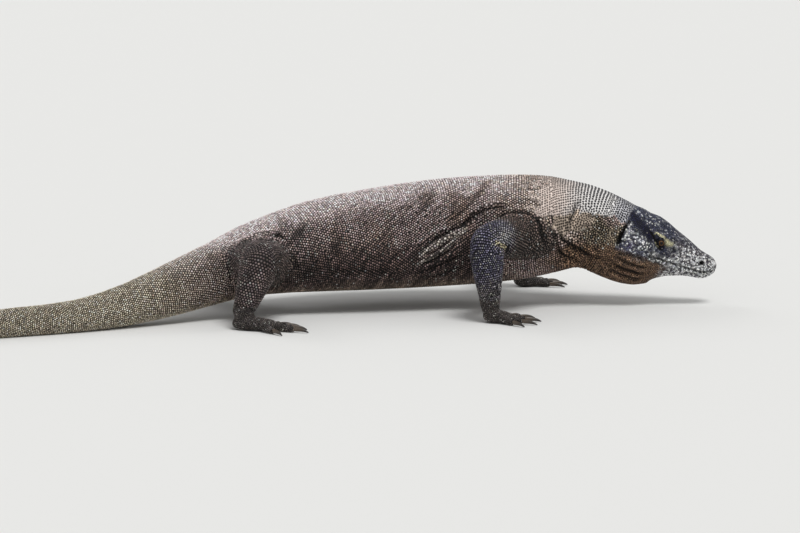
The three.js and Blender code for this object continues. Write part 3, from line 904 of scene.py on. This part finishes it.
# sizes in metres and seeds of the patches that break up the markings
patchKinds = {
    "broad": (0.09, 1.7),
    "middle": (0.026, 5.3),
    "fine": (0.009, 8.9),
    "bands": (0.05, 2.2),
    "headEdge": (0.016, 3.1),
    "grains": (0.0052, 7.7),
    "veins": (0.0085, 9.4),
}


def patches(points, size, seed):
    # soft irregular patches from -1 to 1
    moved = points / size + seed
    return np.array([noise.noise(Vector(place)) for place in moved])


def spotAt(x, y, centre, size):
    return np.exp(-(((x - centre[0]) / size[0]) ** 2) - ((y - centre[1]) / size[1]) ** 2)


def nearLine(x, y, corners, inner, outer):
    return rise(outer, inner, lineDistance(x, y, corners)[0])


def shareOf(area, values, spotPlace, linePlace):
    # how strongly an area's tint covers each point
    share = area.get("share", 1.0)
    for name, limits in area.items():
        if name in values:
            share = share * rise(*limits, values[name])
    if "spot" in area:
        share = share * spotAt(*spotPlace, area["spot"], area["size"])
    if "line" in area:
        share = share * nearLine(*linePlace, area["line"], *area["reach"])
    return share


def streaksOf(along, turn, far):
    # rows of darker and lighter scales that run down towards the tail
    arc = np.radians(turn) * far
    places = np.stack([(along - arc) / 0.011, (along + arc) / 0.075, np.sign(turn)], 1)
    return patches(places, 1.0, 4.4)


def headTints(points):
    # how strongly each of the head's tints covers each point, from the first laid to the last
    back, up, out = inHead(points)
    flank = rise(*headLimits["flankOut"], np.abs(out))
    wavy = back + 5 * patches(points, *patchKinds["headEdge"])
    whole = rise(*headLimits["wholeBack"], wavy + 0.62 * np.maximum(up - 30, 0))
    grains = patches(points, *patchKinds["grains"])
    veins = rise(0.15, 0.04, np.abs(patches(points, *patchKinds["veins"])))
    marks = {}
    for name, areas in headMarks.items():
        shares = [shareOf(area, {"grains": grains}, (back, up), (back, up)) for area in areas]
        marks[name] = whole * flank * sum(shares)
    crown = whole * rise(*headLimits["crownUp"], up) * rise(*headLimits["crownBack"], back)
    snout = rise(*headLimits["snoutBack"], wavy) * (1 - 0.5 * rise(6, 16, up))
    cheek = np.minimum(marks["cheek"], whole * flank)
    mouth = headFolds["mouth"]["line"][1:-1]
    rim = nearLine(back, up, mouth, *headLimits["rimGap"])
    rim = rim * rise(*headLimits["rimBack"], back) * rise(*headLimits["rimFront"], back)
    # white flecks, thick on the snout, fewer on the cheek, and few on the crown as painted glints
    ridge = rise(*headLimits["ridgeUp"], up)
    strong = np.maximum(rise(0.12, 0.26, grains + 0.10 - 0.16 * ridge), 0.7 * veins * (1 - 0.8 * ridge))
    flecks = [0.92 * snout * strong]
    flecked = {"crown": crown, "cheek": cheek, "lips": rim, "band": marks["band"]}
    for name, (share, *limits) in fleckKinds.items():
        flecks.append(share * flecked[name] * rise(*limits, grains))
    throat = rise(*headLimits["throatBack"], back) * rise(*headLimits["throatEnd"], back)
    lipTip = rise(*headLimits["tipBack"], back) * rise(*headLimits["tipUp"], up)
    return {
        "throat": throat * rise(*headLimits["throatUp"], up),
        "head": whole * rise(*headLimits["chinUp"], up - 0.10 * (200 - back)),
        "crown": crown,
        "snout": snout,
        "cheek": cheek,
        "lips": rim,
        "fleck": np.maximum.reduce(flecks),
        "cheekDark": marks["cheekDark"],
        "temple": marks["temple"],
        "paintedSlitShade": marks["paintedSlitShade"],
        "cream": marks["cream"] + 0.7 * lipTip,
    }


def markingsAndPaintedLight(points, owner, crease):
    # the low and high colours, with painted light and shade laid in, the reach of the high one, and
    # the share of pale scales
    values = np.array([np.concatenate([tint[0], tint[1], tint[2:]]) for tint in tints.values()])
    rows = {name: values[k] for k, name in enumerate(tints)}
    marks = np.tile(rows["body"], (len(points), 1))
    along, turn, far = spine.locate(points)
    turn = np.abs(turn)
    broad = patches(points, *patchKinds["broad"])
    middle = patches(points, *patchKinds["middle"])
    fineOnes = patches(points, *patchKinds["fine"])
    bandPlaces = np.stack([along, turn / 180 * 0.12, np.sign(points[:, 1])], 1)
    edge = along + edges["along"] * middle
    wide = turn + edges["round"] * middle
    streaks = streaksOf(along, np.where(points[:, 1] < 0, turn, -turn), far)

    def lay(name, share, chosen=slice(None)):
        share = np.clip(share, 0, 1)[:, None]
        marks[chosen] += (rows[name] - marks[chosen]) * share

    values = {
        "along": along,
        "until": along,
        "from": edge,
        "before": edge,
        "round": wide,
        "lower": wide - edges["fall"] * np.clip(along - edges["fallFrom"], 0, 0.1),
        "bands": patches(bandPlaces, *patchKinds["bands"]) + 0.3 * broad,
    }
    laid = {}
    for area in trunkAreas:
        share = shareOf(area, values, (along, wide), (along * 1000, turn * edges["trunk"]))
        if "ragged" in area:
            share = rise(0.46, 0.54, share + 0.7 * fineOnes) * rise(0, 0.05, share)
        if "over" in area:
            share = share * laid[area["over"]]
        laid[area["tint"]] = share
        lay(area["tint"], share)
    near = np.flatnonzero(along < 0.36)
    for name, share in headTints(points[near]).items():
        lay(name, share, near)
    for limb, tube in limbs.items():
        mine = np.flatnonzero(isPart(owner, *partsOf(limb)))
        run, swing, away = tube.locate(points[mine])
        values = {"along": run, "round": swing, "under": np.abs(swing)}
        for area in limbAreas[limb.split("_")[1]]:
            linePlace = (run * 1000, np.radians(swing) * edges["limb"])
            lay(area["tint"], shareOf(area, values, (run, swing), linePlace), mine)
    lay("foot", 1.0 * isPart(owner, "foot"))
    shade = 1 + shading["broad"] * broad + shading["middle"] * middle + shading["fine"] * fineOnes
    shade = shade * (1 + streaks * rise(0.45, 0.6, along) * rise(1.5, 1.1, along) * rise(16, 50, wide))
    # painted shade in the folds' valleys and a painted highlight on their lips, from how far the folds
    # moved the skin
    shade = shade * (1 - shading["valley"] * rise(0.4, 3.2, -crease))
    shade = shade * (1 + shading["lip"] * rise(0.4, 1.8, crease))
    marks[:, :6] *= np.maximum(shade, shading["least"])[:, None]
    for colour in (marks[:, :3], marks[:, 3:6]):
        # nothing is paler than chalk, and its hue is kept
        colour *= np.minimum(shading["chalk"] / np.maximum(colour.max(1), 0.01), 1)[:, None]
    return np.clip(marks, 0, 1)


# ---- The coat: single scales, modelled once for each kind ----
# "ring" is the shoulder's width and height as shares of the scale, and "top" its tip's height and
# how far the tip leans back
scaleKinds = {
    "bead": {"ring": (0.70, 0.80), "top": (1.0, 0.04)},
    "keel": {"ring": (0.60, 0.62), "top": (1.0, 0.16)},
    "plate": {"ring": (0.82, 0.86), "top": (1.0, 0.0)},
}


def modelScale(name):
    # a low six-sided dome: half a ball, its lower half cut away and closed
    wide, high = scaleKinds[name]["ring"]
    tipHigh, tipBack = scaleKinds[name]["top"]
    halfRing = 0.7071  # the ball's own ring, as a share of its equator and of its height
    bpy.ops.object.select_all(action="DESELECT")
    bpy.ops.mesh.primitive_uv_sphere_add(segments=6, ring_count=4, radius=0.5)
    piece = bpy.context.object
    piece.name = name
    with editMode():
        bpy.ops.mesh.bisect(plane_co=(0, 0, 0), plane_no=(0, 0, 1), clear_inner=True, use_fill=True)
    for vertex in piece.data.vertices:
        # the ring halfway up
        vertex.select = 0.1 < vertex.co.z < 0.45
    with editMode(None):
        bpy.ops.mesh.select_mode(type="VERT")
        size = (wide / halfRing, wide / halfRing, high / halfRing)
        bpy.ops.transform.resize(value=size, center_override=(0, 0, 0))
        bpy.ops.mesh.select_all(action="SELECT")
        bpy.ops.transform.resize(value=(1, 1, 2), center_override=(0, 0, 0))
        bpy.ops.mesh.quads_convert_to_tris()
    points = pointsOf(piece)
    points[points[:, 2].argmax()] += (tipBack, 0, tipHigh - 1)
    faces = np.array([list(face.vertices) for face in piece.data.polygons])
    bpy.data.objects.remove(piece)
    return points, faces


scaleModels = {name: modelScale(name) for name in scaleKinds}
print("one scale of each kind is modelled")

# millimetres between scales: on the trunk and the limbs for metres along their lines, on the feet, and
# round the eyes and the nostrils, where it grows with the distance; "neckSide" is a share
spacing = {
    "spine": [
        (0.0, 2.9), (0.1, 3.3), (0.2, 4.0), (0.235, 5.0), (0.255, 6.2), (0.36, 6.2), (0.5, 6.6),
        (0.65, 6.5), (1.0, 6.3), (1.25, 6.0), (1.5, 5.3), (1.9, 4.5), (2.3, 3.5), (2.55, 2.6),
    ],
    "limb": [(0.0, 6.8), (0.24, 6.8), (0.33, 5.4), (0.4, 4.2)],
    "foot": 3.6,
    "neckSide": 0.84,
    "fine": 2.1,
    "growth": 0.12,
    "eye": 0.011,
    "nostril": 0.004,
}
# rows round the tubes: where the first and the last lie, and from how far out their places are looked
# for. "step" between rows and the "closest" two scales may be are shares of the spacing
rowPlan = {
    "spine": {"first": 0.252, "end": 0.004, "reach": 0.26},
    "fore": {"first": 0.12, "end": 0.012, "reach": 0.125},
    "hind": {"first": 0.10, "end": 0.012, "reach": 0.125},
    "step": 0.87,
    "closest": 0.66,
}
# how far the rows wander, over what length, and each scale's own shift as a share of the spacing
uneven = {"wander": 0.006, "size": 0.075, "own": 0.055}


def spacingAt(table, along):
    return tabled(table, along) / 1000


def ringScales(tube, tree, table, plan):
    # rows of roots round a tube, each row shifted by half a scale from the one before
    turns = np.radians(np.linspace(-180, 180, 73))
    rows = []
    along = plan["first"]
    before = None
    spread = 1.0
    while along < tube.run[-1] - plan["end"]:
        gap = spacingAt(table, along)
        centre, ahead, up, side = tube.frameAt(along)
        ring = []
        for turn in turns:
            way = up * math.cos(turn) + side * math.sin(turn)
            hit = tree.ray_cast(Vector(centre + way * plan["reach"]), Vector(-way), plan["reach"])[0]
            ring.append(centre + way * 0.001 if hit is None else np.array(hit))
        ring = np.array(ring)
        run = runOf(ring)
        run -= run[len(turns) // 2]
        count = int(max(run[-1], -run[0]) / gap) + 1
        arcs = (np.arange(-count, count + 1) + 0.5 * (len(rows) % 2)) * gap
        arcs = arcs[(arcs > run[0] + gap * 0.3) & (arcs < run[-1] - gap * 0.3)]
        rows.append((onLine(arcs, run, ring), np.tile(ahead, (len(arcs), 1)), np.full(len(arcs), gap)))
        if before is not None:
            # where the tube bends, the step follows the wider rows
            step = np.linalg.norm(ring - before[0], axis=1)
            spread = np.percentile(step, 65) / (along - before[1])
        before = (ring, along)
        along += gap * rowPlan["step"] / min(max(spread, 0.8), 1.6)
    spots, ways, gaps = [np.concatenate(part) for part in zip(*rows)]
    lean = [patches(spots, uneven["size"], seed) for seed in (2.5, 6.5, 11.5)]
    spots = spots + uneven["wander"] * np.stack(lean, 1)
    spots = spots + uneven["own"] * gaps[:, None] * draws.normal(0, 1, spots.shape)
    return spots, ways, gaps


def onHide(points, ways, gaps, far=0.012):
    # the points moved to the hide; what lies deep inside another part is left out
    found = [hideTree.find_nearest(Vector(point), far) for point in points]
    kept = [number for number, hit in enumerate(found) if hit[0] is not None]
    spots = np.array([found[number][0] for number in kept])
    facings = np.array([found[number][1] for number in kept])
    return spots, facings, ways[kept], gaps[kept]


# rows of plates along the lips: above and below the mouth, millimetres
lips = {"shifts": (5.0, -5.2), "first": 2.0, "gap": 5.6}


def labialScales():
    corners = np.array(headFolds["mouth"]["line"][1:-1], float)
    run = runOf(corners)
    rows = []
    for sign in sides.values():
        out = headLeft * sign * 0.15
        for shift in lips["shifts"]:
            for place in np.arange(lips["first"], run[-1], lips["gap"]):
                x = np.interp(place, run, corners[:, 0])
                y = np.interp(place, run, corners[:, 1]) + shift
                start = headTip + (headBack * x + headUp * y) / 1000 + out
                hit = hideTree.ray_cast(Vector(start), Vector(-headLeft * sign), 0.15)
                if hit[0] is not None:
                    rows.append((np.array(hit[0]), np.array(hit[1]), headBack, lips["gap"] / 1000))
    return [np.array(part) for part in zip(*rows)]


def pointTree(points):
    tree = KDTree(len(points))
    for place, point in enumerate(points):
        tree.insert(point, place)
    tree.balance()
    return tree


def thinned(points, gaps, closest):
    # False for each point that is too near to an earlier one
    tree = pointTree(points)
    kept = np.ones(len(points), bool)
    for number, point in enumerate(points):
        for spot, other, gap in tree.find_range(point, closest * gaps[number]):
            if other < number and kept[other]:
                kept[number] = False
                break
    return kept


sets = [labialScales()]
sets.append(onHide(*ringScales(spine, trunkTree, spacing["spine"], rowPlan["spine"])))
for limb, tube in limbs.items():
    tree = closedTree(partsOf(limb), limb)
    sets.append(onHide(*ringScales(tube, tree, spacing["limb"], rowPlan[limb.split("_")[1]])))
roots, facings, ways, gaps = [np.concatenate(part) for part in zip(*sets)]
kept = thinned(roots, gaps, rowPlan["closest"])
roots, facings, ways, gaps = [part[kept] for part in (roots, facings, ways, gaps)]
# where the sides of the neck have finer scales, and how many more spots the feet and the head need
finePatch = {"along": (0.37, 0.33), "upper": (50, 60), "lower": (140, 124)}
crowded = {
    "feet": 3.5, "low": (0.075, 0.045), "middle": -0.03, "body": 0.1, "head": 4.5, "front": (0.84, 0.98),
}


def fineNeck(points):
    along, turn, far = spine.locate(points)
    down = np.abs(turn)
    side = rise(*finePatch["upper"], down) * rise(*finePatch["lower"], down)
    return rise(*finePatch["along"], along) * side


def gapAt(points):
    # the spacing of the scales anywhere on the animal
    owner = partsAt(points)
    along, turn, far = spine.locate(points)
    gap = spacingAt(spacing["spine"], along)
    gap *= 1 - (1 - spacing["neckSide"]) * fineNeck(points) * rise(0.235, 0.25, along)
    for limb, tube in limbs.items():
        mine = isPart(owner, *partsOf(limb))
        gap[mine] = spacingAt(spacing["limb"], tube.locate(points[mine])[0])
    gap[isPart(owner, "foot")] = spacing["foot"] / 1000
    back, up, out = inHead(points)
    nostrilBack, nostrilUp = headSwells["nostrilPit"]["at"]
    nostril = np.hypot(back - nostrilBack, up - nostrilUp) / 1000 + (np.abs(out) < 4)
    beyond = [nostril - spacing["nostril"]]
    for side in sides:
        beyond.append(np.linalg.norm(points - eyeCentre(side), axis=1) - spacing["eye"])
    beyond = np.maximum(np.minimum.reduce(beyond), 0)
    return np.minimum(gap, spacing["fine"] / 1000 + spacing["growth"] * beyond)


def favour(points):
    beside = np.abs(points[:, 1] - crowded["middle"]) > crowded["body"]
    foot = rise(*crowded["low"], points[:, 2]) * beside
    head = rise(*crowded["front"], points[:, 0])
    return 1 + crowded["feet"] * foot + crowded["head"] * head


def scatter(piece, count):
    # even random spots on the hide
    mesh = piece.data
    mesh.calc_loop_triangles()
    corners = valuesOf(mesh.loop_triangles, "vertices", 3).reshape(-1, 3)
    a, b, c = pointsOf(piece)[corners].transpose(1, 0, 2)
    area = np.linalg.norm(np.cross(b - a, c - a), axis=1) * favour((a + b + c) / 3)
    chosen = draws.choice(len(area), count, p=area / area.sum())
    u, v = draws.random((2, count, 1))
    over = u + v > 1
    u = np.where(over, 1 - u, u)
    v = np.where(over, 1 - v, v)
    return a[chosen] + u * (b - a)[chosen] + v * (c - a)[chosen]


def rootGaps(spots):
    # how far the spots are from the roots in rows
    tree = pointTree(roots)
    return np.array([tree.find(spot)[2] for spot in spots])


def roomy(spots, gaps):
    # the spots with room for a scale, between the rows' roots and then between each other
    free = rootGaps(spots) > filling["apart"] * gaps
    spots, gaps = spots[free], gaps[free]
    tree = pointTree(spots)
    state = np.zeros(len(spots), int)
    for number, spot in enumerate(spots):
        if state[number] == 0:
            state[number] = 1
            for place, other, gap in tree.find_range(spot, filling["apart"] * gaps[number]):
                if state[other] == 0:
                    state[other] = 2
    return spots[state == 1], gaps[state == 1]


def evened(points, gaps, others):
    # pushes the points apart for a fixed number of rounds, towards even spacing
    for k in range(filling["rounds"]):
        everything = np.concatenate([others, points])
        tree = pointTree(everything)
        moved = points.copy()
        for number, point in enumerate(points):
            push = np.zeros(3)
            wanted = filling["reach"] * gaps[number]
            for spot, other, gap in tree.find_range(point, wanted):
                if gap > 0:
                    push += (point - everything[other]) / gap * (wanted - gap)
            moved[number] += filling["push"] * push
        points = nearestOf(hideTree, moved, "place")
    return points


# random spots tried between the rows, how near they may lie as metres and as a share of the spacing,
# how they are pushed apart, and how far a scale may differ from the spacing
filling = {
    "spots": 440000,
    "nearest": 0.0022,
    "apart": 0.80,
    "rounds": 4,
    "reach": 1.15,
    "push": 0.35,
    "smallest": 0.72,
    "largest": 1.25,
}
kept = (fineNeck(roots) < 0.5) | (roots[:, 0] > 1.0)
roots, facings, ways, gaps = [part[kept] for part in (roots, facings, ways, gaps)]
print("rows of", len(roots), "scales")
spots = scatter(hide, filling["spots"])
spots = spots[rootGaps(spots) > filling["nearest"]]
spots, spotGaps = roomy(spots, gapAt(spots))
print("filled with", len(spots))
spots = evened(spots, spotGaps, roots)
facings = np.concatenate([facings, nearestOf(hideTree, spots, "normal")])
ways = np.concatenate([ways, onLine(spine.locate(spots)[0], spine.run, spine.ahead)])
roots = np.concatenate([roots, spots])
gaps = np.concatenate([gaps, spotGaps])
owner = partsAt(roots)
tree = pointTree(roots)
apart = np.array([np.mean([gap for spot, other, gap in tree.find_n(root, 7)[1:]]) for root in roots])
# each scale fills the room it has
gaps = np.clip(apart, gaps * filling["smallest"], gaps * filling["largest"])
marks = markingsAndPaintedLight(roots, owner, creaseAt(roots))
print("the coat's colours are worked out")

# pieces of the coat: their parts, the kind of scale, and its height as a share of the spacing
coatPieces = {
    "headScales": (["head"], "plate", 0.20),
    "jawScales": (["lower_jaw"], "plate", 0.20),
    "neckScales": (["neck"], "bead", 0.32),
    "chestScales": (["chest"], "bead", 0.32),
    "bellyScales": (["belly"], "bead", 0.32),
    "pelvisScales": (["pelvis"], "bead", 0.32),
    "tailScales": (["tail_1"], "keel", 0.36),
    "tailEndScales": (["tail_2", "tail_3"], "keel", 0.36),
    "rightArmScales": (partsOf("right_fore"), "bead", 0.30),
    "leftArmScales": (partsOf("left_fore"), "bead", 0.30),
    "rightLegScales": (partsOf("right_hind"), "bead", 0.30),
    "leftLegScales": (partsOf("left_hind"), "bead", 0.30),
}
coatShape = {"long": 0.94, "wide": 0.98, "sink": 0.08, "patch": 0.003}
# how much lighter or darker each scale is, its hue's own share, and how pale the pale ones are
tone = {
    "mean": -0.05, "spread": 0.40, "least": -1.1, "most": 0.65, "hue": (0.03, 0.012, 0.045), "pale": 0.75,
}


# shares of the unwrap's width: a limb without its foot, where the foot's back and sole begin, and how
# wide each is
unwrap = {"limb": 0.56, "back": 0.58, "sole": 0.80, "foot": 0.19, "rim": 0.004}


def unwrapped(chosen, parts):
    # each root's place on an unwrap of the skin: along the line and round it, and the feet's backs
    # and soles beside it
    places = roots[chosen]
    if "foot" not in parts[-1]:
        along, turn, far = spine.locate(places)
        u = (along - along.min()) / (along.max() - along.min())
        v = turn / 360 + 0.5
    else:
        limb = next(limb for limb in limbs if parts == partsOf(limb))
        along, turn, far = limbs[limb].locate(places)
        u = unwrap["limb"] * along / along.max()
        v = turn / 360 + 0.5
        low, high = np.array(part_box(parts[-1]))
        foot = isPart(owner[chosen], parts[-1])
        flat = (places - low) / (high - low)
        start = np.where(facings[chosen][:, 2] < 0, unwrap["sole"], unwrap["back"])
        u = np.where(foot, start + unwrap["foot"] * flat[:, 1], u)
        v = np.where(foot, flat[:, 0], v)
    return unwrap["rim"] + (1 - 2 * unwrap["rim"]) * np.clip(np.stack([u, v], 1), 0, 1)


def laidScales(name, chosen, parts, kind, high):
    # one joined mesh with a copy of the scale at each root, its colours and its unwrap
    model, faces = scaleModels[kind]
    normal = facings[chosen]
    back = unit(ways[chosen] - normal * (ways[chosen] * normal).sum(1)[:, None])
    across = np.cross(normal, back)
    size = gaps[chosen][:, None, None]
    spread = model[None, :, 0:1] * back[:, None] * coatShape["long"]
    spread = spread + model[None, :, 1:2] * across[:, None] * coatShape["wide"]
    lift = (model[None, :, 2:3] * high - coatShape["sink"]) * normal[:, None]
    points = roots[chosen][:, None] + (spread + lift) * size
    count = len(points)
    corners = (faces[None] + (np.arange(count) * len(model))[:, None, None]).reshape(-1)
    mesh = bpy.data.meshes.new(name)
    mesh.vertices.add(count * len(model))
    mesh.vertices.foreach_set("co", points.astype(np.float32).ravel())
    mesh.loops.add(len(corners))
    mesh.loops.foreach_set("vertex_index", corners.astype(np.int32))
    total = count * len(faces)
    mesh.polygons.add(total)
    mesh.polygons.foreach_set("loop_start", (np.arange(total) * 3).astype(np.int32))
    mesh.polygons.foreach_set("loop_total", np.full(total, 3, np.int32))
    mesh.polygons.foreach_set("use_smooth", np.ones(total, bool))
    mark = marks[chosen]
    # each scale darkens from its tip down to its root towards the colour between the scales: partly painted
    # shade in the grooves
    tipShare = np.clip((model[:, 2] - 0.3) / 0.7, 0, 1)
    share = np.where(tipShare[None] > 0.95, 1.0, mark[:, 6:7] * (tipShare[None] > 0))
    shade = np.clip(draws.normal(tone["mean"], tone["spread"], (count, 1)), tone["least"], tone["most"])
    shade = np.exp(shade + draws.normal(0, 1, (count, 3)) * tone["hue"])
    speck = tone["pale"] * (draws.random((count, 1)) < mark[:, 7:8])
    tips = (mark[:, 3:6] * (1 - speck) + pale * speck) * shade
    colour = mark[:, None, 0:3] * (1 - share[..., None]) + tips[:, None] * share[..., None]
    putColours(mesh, colour.reshape(-1, 3))
    patch = unwrapped(chosen, parts)[:, None] + model[None, :, :2] * coatShape["patch"]
    layer = mesh.uv_layers.new(name="OFBake")
    layer.data.foreach_set("uv", patch.reshape(-1, 2)[corners].astype(np.float32).ravel())
    mesh.update()
    mesh.validate()
    piece = bpy.data.objects.new(name, mesh)
    bpy.context.collection.objects.link(piece)
    return piece


def putColours(mesh, colours):
    full = np.concatenate([np.clip(colours, 0, 1), np.ones((len(colours), 1))], 1)
    putValues(mesh, "markingWithPaintedLight", "FLOAT_COLOR", "POINT", full)


# ---- Materials ----
def noiseOf(nodes, links, size, detail):
    place = addNode(nodes, "TexCoord")
    texture = addNode(nodes, "TexNoise")
    setInputs(texture, {"Scale": 1 / size, "Detail": detail})
    links.new(place.outputs["Object"], texture.inputs["Vector"])
    return texture.outputs[0]


def ranged(nodes, links, source, low, high):
    # a noise's usual values brought between two others
    mapped = addNode(nodes, "MapRange")
    setInputs(mapped, {"From Min": 0.3, "From Max": 0.7, "To Min": low, "To Max": high})
    links.new(source, mapped.inputs["Value"])
    return mapped.outputs[0]


def mottled(nodes, links, colour, noise, low, high):
    # a colour made darker and lighter by a noise, as the surface's own
    scaled = addNode(nodes, "VectorMath", operation="SCALE")
    links.new(colour, scaled.inputs[0])
    links.new(ranged(nodes, links, noise, low, high), scaled.inputs["Scale"])
    links.new(scaled.outputs[0], nodes["Principled BSDF"].inputs["Base Color"])


def rough(nodes, links, noise, low, high):
    links.new(ranged(nodes, links, noise, low, high), nodes["Principled BSDF"].inputs["Roughness"])


def bumped(nodes, links, noise, strength, distance):
    bump = addNode(nodes, "Bump")
    setInputs(bump, {"Strength": strength, "Distance": distance})
    links.new(noise, bump.inputs["Height"])
    links.new(bump.outputs[0], nodes["Principled BSDF"].inputs["Normal"])


def ramped(nodes, links, attribute, stops):
    # colours that follow a piece's own attribute
    mark = addNode(nodes, "Attribute", attribute_name=attribute)
    ramp = addNode(nodes, "ValToRGB")
    elements = ramp.color_ramp.elements
    elements[0].position, elements[1].position = stops[0][0], stops[-1][0]
    for stop in stops[1:-1]:
        elements.new(stop[0])
    for element, stop in zip(elements, stops):
        element.color = (*stop[1], 1)
    links.new(mark.outputs["Fac"], ramp.inputs[0])
    return ramp.outputs[0]


# sizes in metres of the flecks, the wear and the bumps, how much the flecks change the colour, how
# rough the surface is, and how high the bumps are
skinFinish = {"fleck": 0.0030, "rough": (0.60, 0.80), "bump": 0.0012, "high": 0.0004}
scaleFinish = {"fleck": 0.0016, "rough": (0.46, 0.66), "bump": 0.0007, "high": 0.00012}
bothFinish = {"flecked": (0.74, 1.26), "wear": 0.02, "strength": 0.5, "shine": 0.2}


def hideMaterial(name, finish):
    # the markings with their painted light and shade, broken up by fine flecks, with a dry and slightly
    # uneven surface
    material, nodes, links = newMaterial(name)
    mark = addNode(nodes, "Attribute", attribute_name="markingWithPaintedLight")
    flecks = noiseOf(nodes, links, finish["fleck"], 3)
    mottled(nodes, links, mark.outputs["Color"], flecks, *bothFinish["flecked"])
    rough(nodes, links, noiseOf(nodes, links, bothFinish["wear"], 4), *finish["rough"])
    bumped(nodes, links, noiseOf(nodes, links, finish["bump"], 2), bothFinish["strength"], finish["high"])
    setInputs(nodes["Principled BSDF"], {"Specular IOR Level": bothFinish["shine"]})
    return material


skinMaterial = hideMaterial("wrinkledSkin", skinFinish)
scaleMaterial = hideMaterial("hornScales", scaleFinish)

total = 0
for name, (parts, kind, high) in coatPieces.items():
    numbers = [fleshParts.index(part) for part in parts]
    chosen = np.flatnonzero(np.isin(owner, numbers))
    piece = laidScales(name, chosen, parts, kind, high)
    piece.data.materials.append(scaleMaterial)
    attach(piece, "root")
    total += len(piece.data.polygons)
    print(name, len(chosen), "scales", len(piece.data.polygons), "triangles")
print("coat", len(roots), "scales", total, "triangles")

# the skin, with fewer faces where it is even
applyModifier(hide, "DECIMATE", ratio=skin["triangles"] / (2 * len(hide.data.polygons)))
points = pointsOf(hide)
skinMarks = markingsAndPaintedLight(points, partsAt(points), creaseAt(points))
# the skin takes the colour between the scales, in most areas near black: partly painted shade in the
# grooves
putColours(hide.data, skinMarks[:, :3])
hide.data.materials.append(skinMaterial)
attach(hide, "root")
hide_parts(*fleshParts)
print("skin", len(hide.data.polygons), "faces")

# ---- Eyes ----
eyeballShape = {"cornea": 0.0010, "corneaEdge": 0.62, "pupil": 0.25, "iris": 0.50}


def eyeMaterial():
    # a dark pupil in a brown iris, wet
    material, nodes, links = newMaterial("wetEye")
    pupil = eyeballShape["pupil"]
    iris = eyeballShape["iris"]
    stops = [
        (0.0, (0.003, 0.002, 0.002)),
        (pupil, (0.004, 0.003, 0.002)),
        (pupil + 0.03, (0.150, 0.066, 0.018)),
        (iris - 0.06, (0.060, 0.026, 0.009)),
        (iris, (0.012, 0.007, 0.005)),
        (1.0, (0.020, 0.013, 0.010)),
    ]
    gaze = ramped(nodes, links, "gaze", stops)
    mottled(nodes, links, gaze, noiseOf(nodes, links, 0.0012, 3), 0.6, 1.4)
    setInputs(nodes["Principled BSDF"], {"Roughness": 0.08, "Specular IOR Level": 0.2})
    return material


def makeEye(side, sign, material):
    centre, facing, rear, above = eyeFrame(side, sign)
    radius = eyeShape["ball"]
    bpy.ops.object.select_all(action="DESELECT")
    bpy.ops.mesh.primitive_uv_sphere_add(segments=40, ring_count=28, radius=radius)
    eye = bpy.context.object
    eye.name = side + "Eyeball"
    points = pointsOf(eye)
    angle = np.arccos(np.clip(points[:, 2] / radius, -1, 1))
    bulge = eyeballShape["cornea"] * rise(eyeballShape["corneaEdge"], 0.25, angle)
    points += unit(points) * bulge[:, None]
    putValues(eye.data, "gaze", "FLOAT", "POINT", (angle / (math.pi / 2)).clip(0, 1))
    putPoints(eye, centre + points @ np.array([rear, above, facing]))
    with editMode():
        bpy.ops.mesh.normals_make_consistent(inside=False)
    bpy.ops.object.shade_smooth()
    eye.data.materials.append(material)
    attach(eye, "root")
    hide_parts(side + "_eye")


wetEye = eyeMaterial()
for side, sign in sides.items():
    makeEye(side, sign, wetEye)
print("the eyes are in place")

# ---- Claws ----
clawShape = {"levels": 2, "swell": 0.0005, "length": 0.034, "root": 0.004, "cut": 0.0008}


def clawMaterial():
    # dark horn, paler where it leaves the toe, with fine lines along it that also change its roughness
    material, nodes, links = newMaterial("clawHorn")
    streaks = noiseOf(nodes, links, 0.0025, 4)
    horn = ramped(nodes, links, "outward", [(0.05, (0.095, 0.070, 0.050)), (0.75, (0.022, 0.017, 0.014))])
    mottled(nodes, links, horn, streaks, 0.65, 1.35)
    rough(nodes, links, streaks, 0.25, 0.45)
    bumped(nodes, links, streaks, 0.4, 0.0003)
    return material


def toeGaps(points):
    # how far the points are from the toes
    return nearestOf(solidTree, points, "gap")


def rootClaws(claws):
    # each claw's flat base moves back into its toe
    points = pointsOf(claws)
    atToe = toeGaps(points) < clawShape["cut"]
    moved = points.copy()
    for face in claws.data.polygons:
        corners = list(face.vertices)
        if atToe[corners].all():
            moved[corners] = points[corners] + np.array(face.normal) * clawShape["root"]
    putPoints(claws, moved)


clawHorn = clawMaterial()
for limb in limbs:
    side, kind = limb.split("_")
    nodes = [f"{side}_{kind}_claw_{toe}" for toe in range(1, 6)]
    claws = joinedCopy(nodes, side + kind.capitalize() + "Claws")
    claws.data.attributes.remove(claws.data.attributes["part"])
    rootClaws(claws)
    with editMode():
        bpy.ops.mesh.tris_convert_to_quads()
    applyModifier(claws, "SUBSURF", levels=clawShape["levels"])
    applyModifier(claws, "DISPLACE", strength=clawShape["swell"], mid_level=0.0)
    bpy.ops.object.shade_smooth()
    outward = (toeGaps(pointsOf(claws)) / clawShape["length"]).clip(0, 1)
    putValues(claws.data, "outward", "FLOAT", "POINT", outward)
    claws.data.materials.append(clawHorn)
    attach(claws, "root")
    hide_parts(*nodes)
print("the claws are in place")
bpy.data.objects.remove(solids)
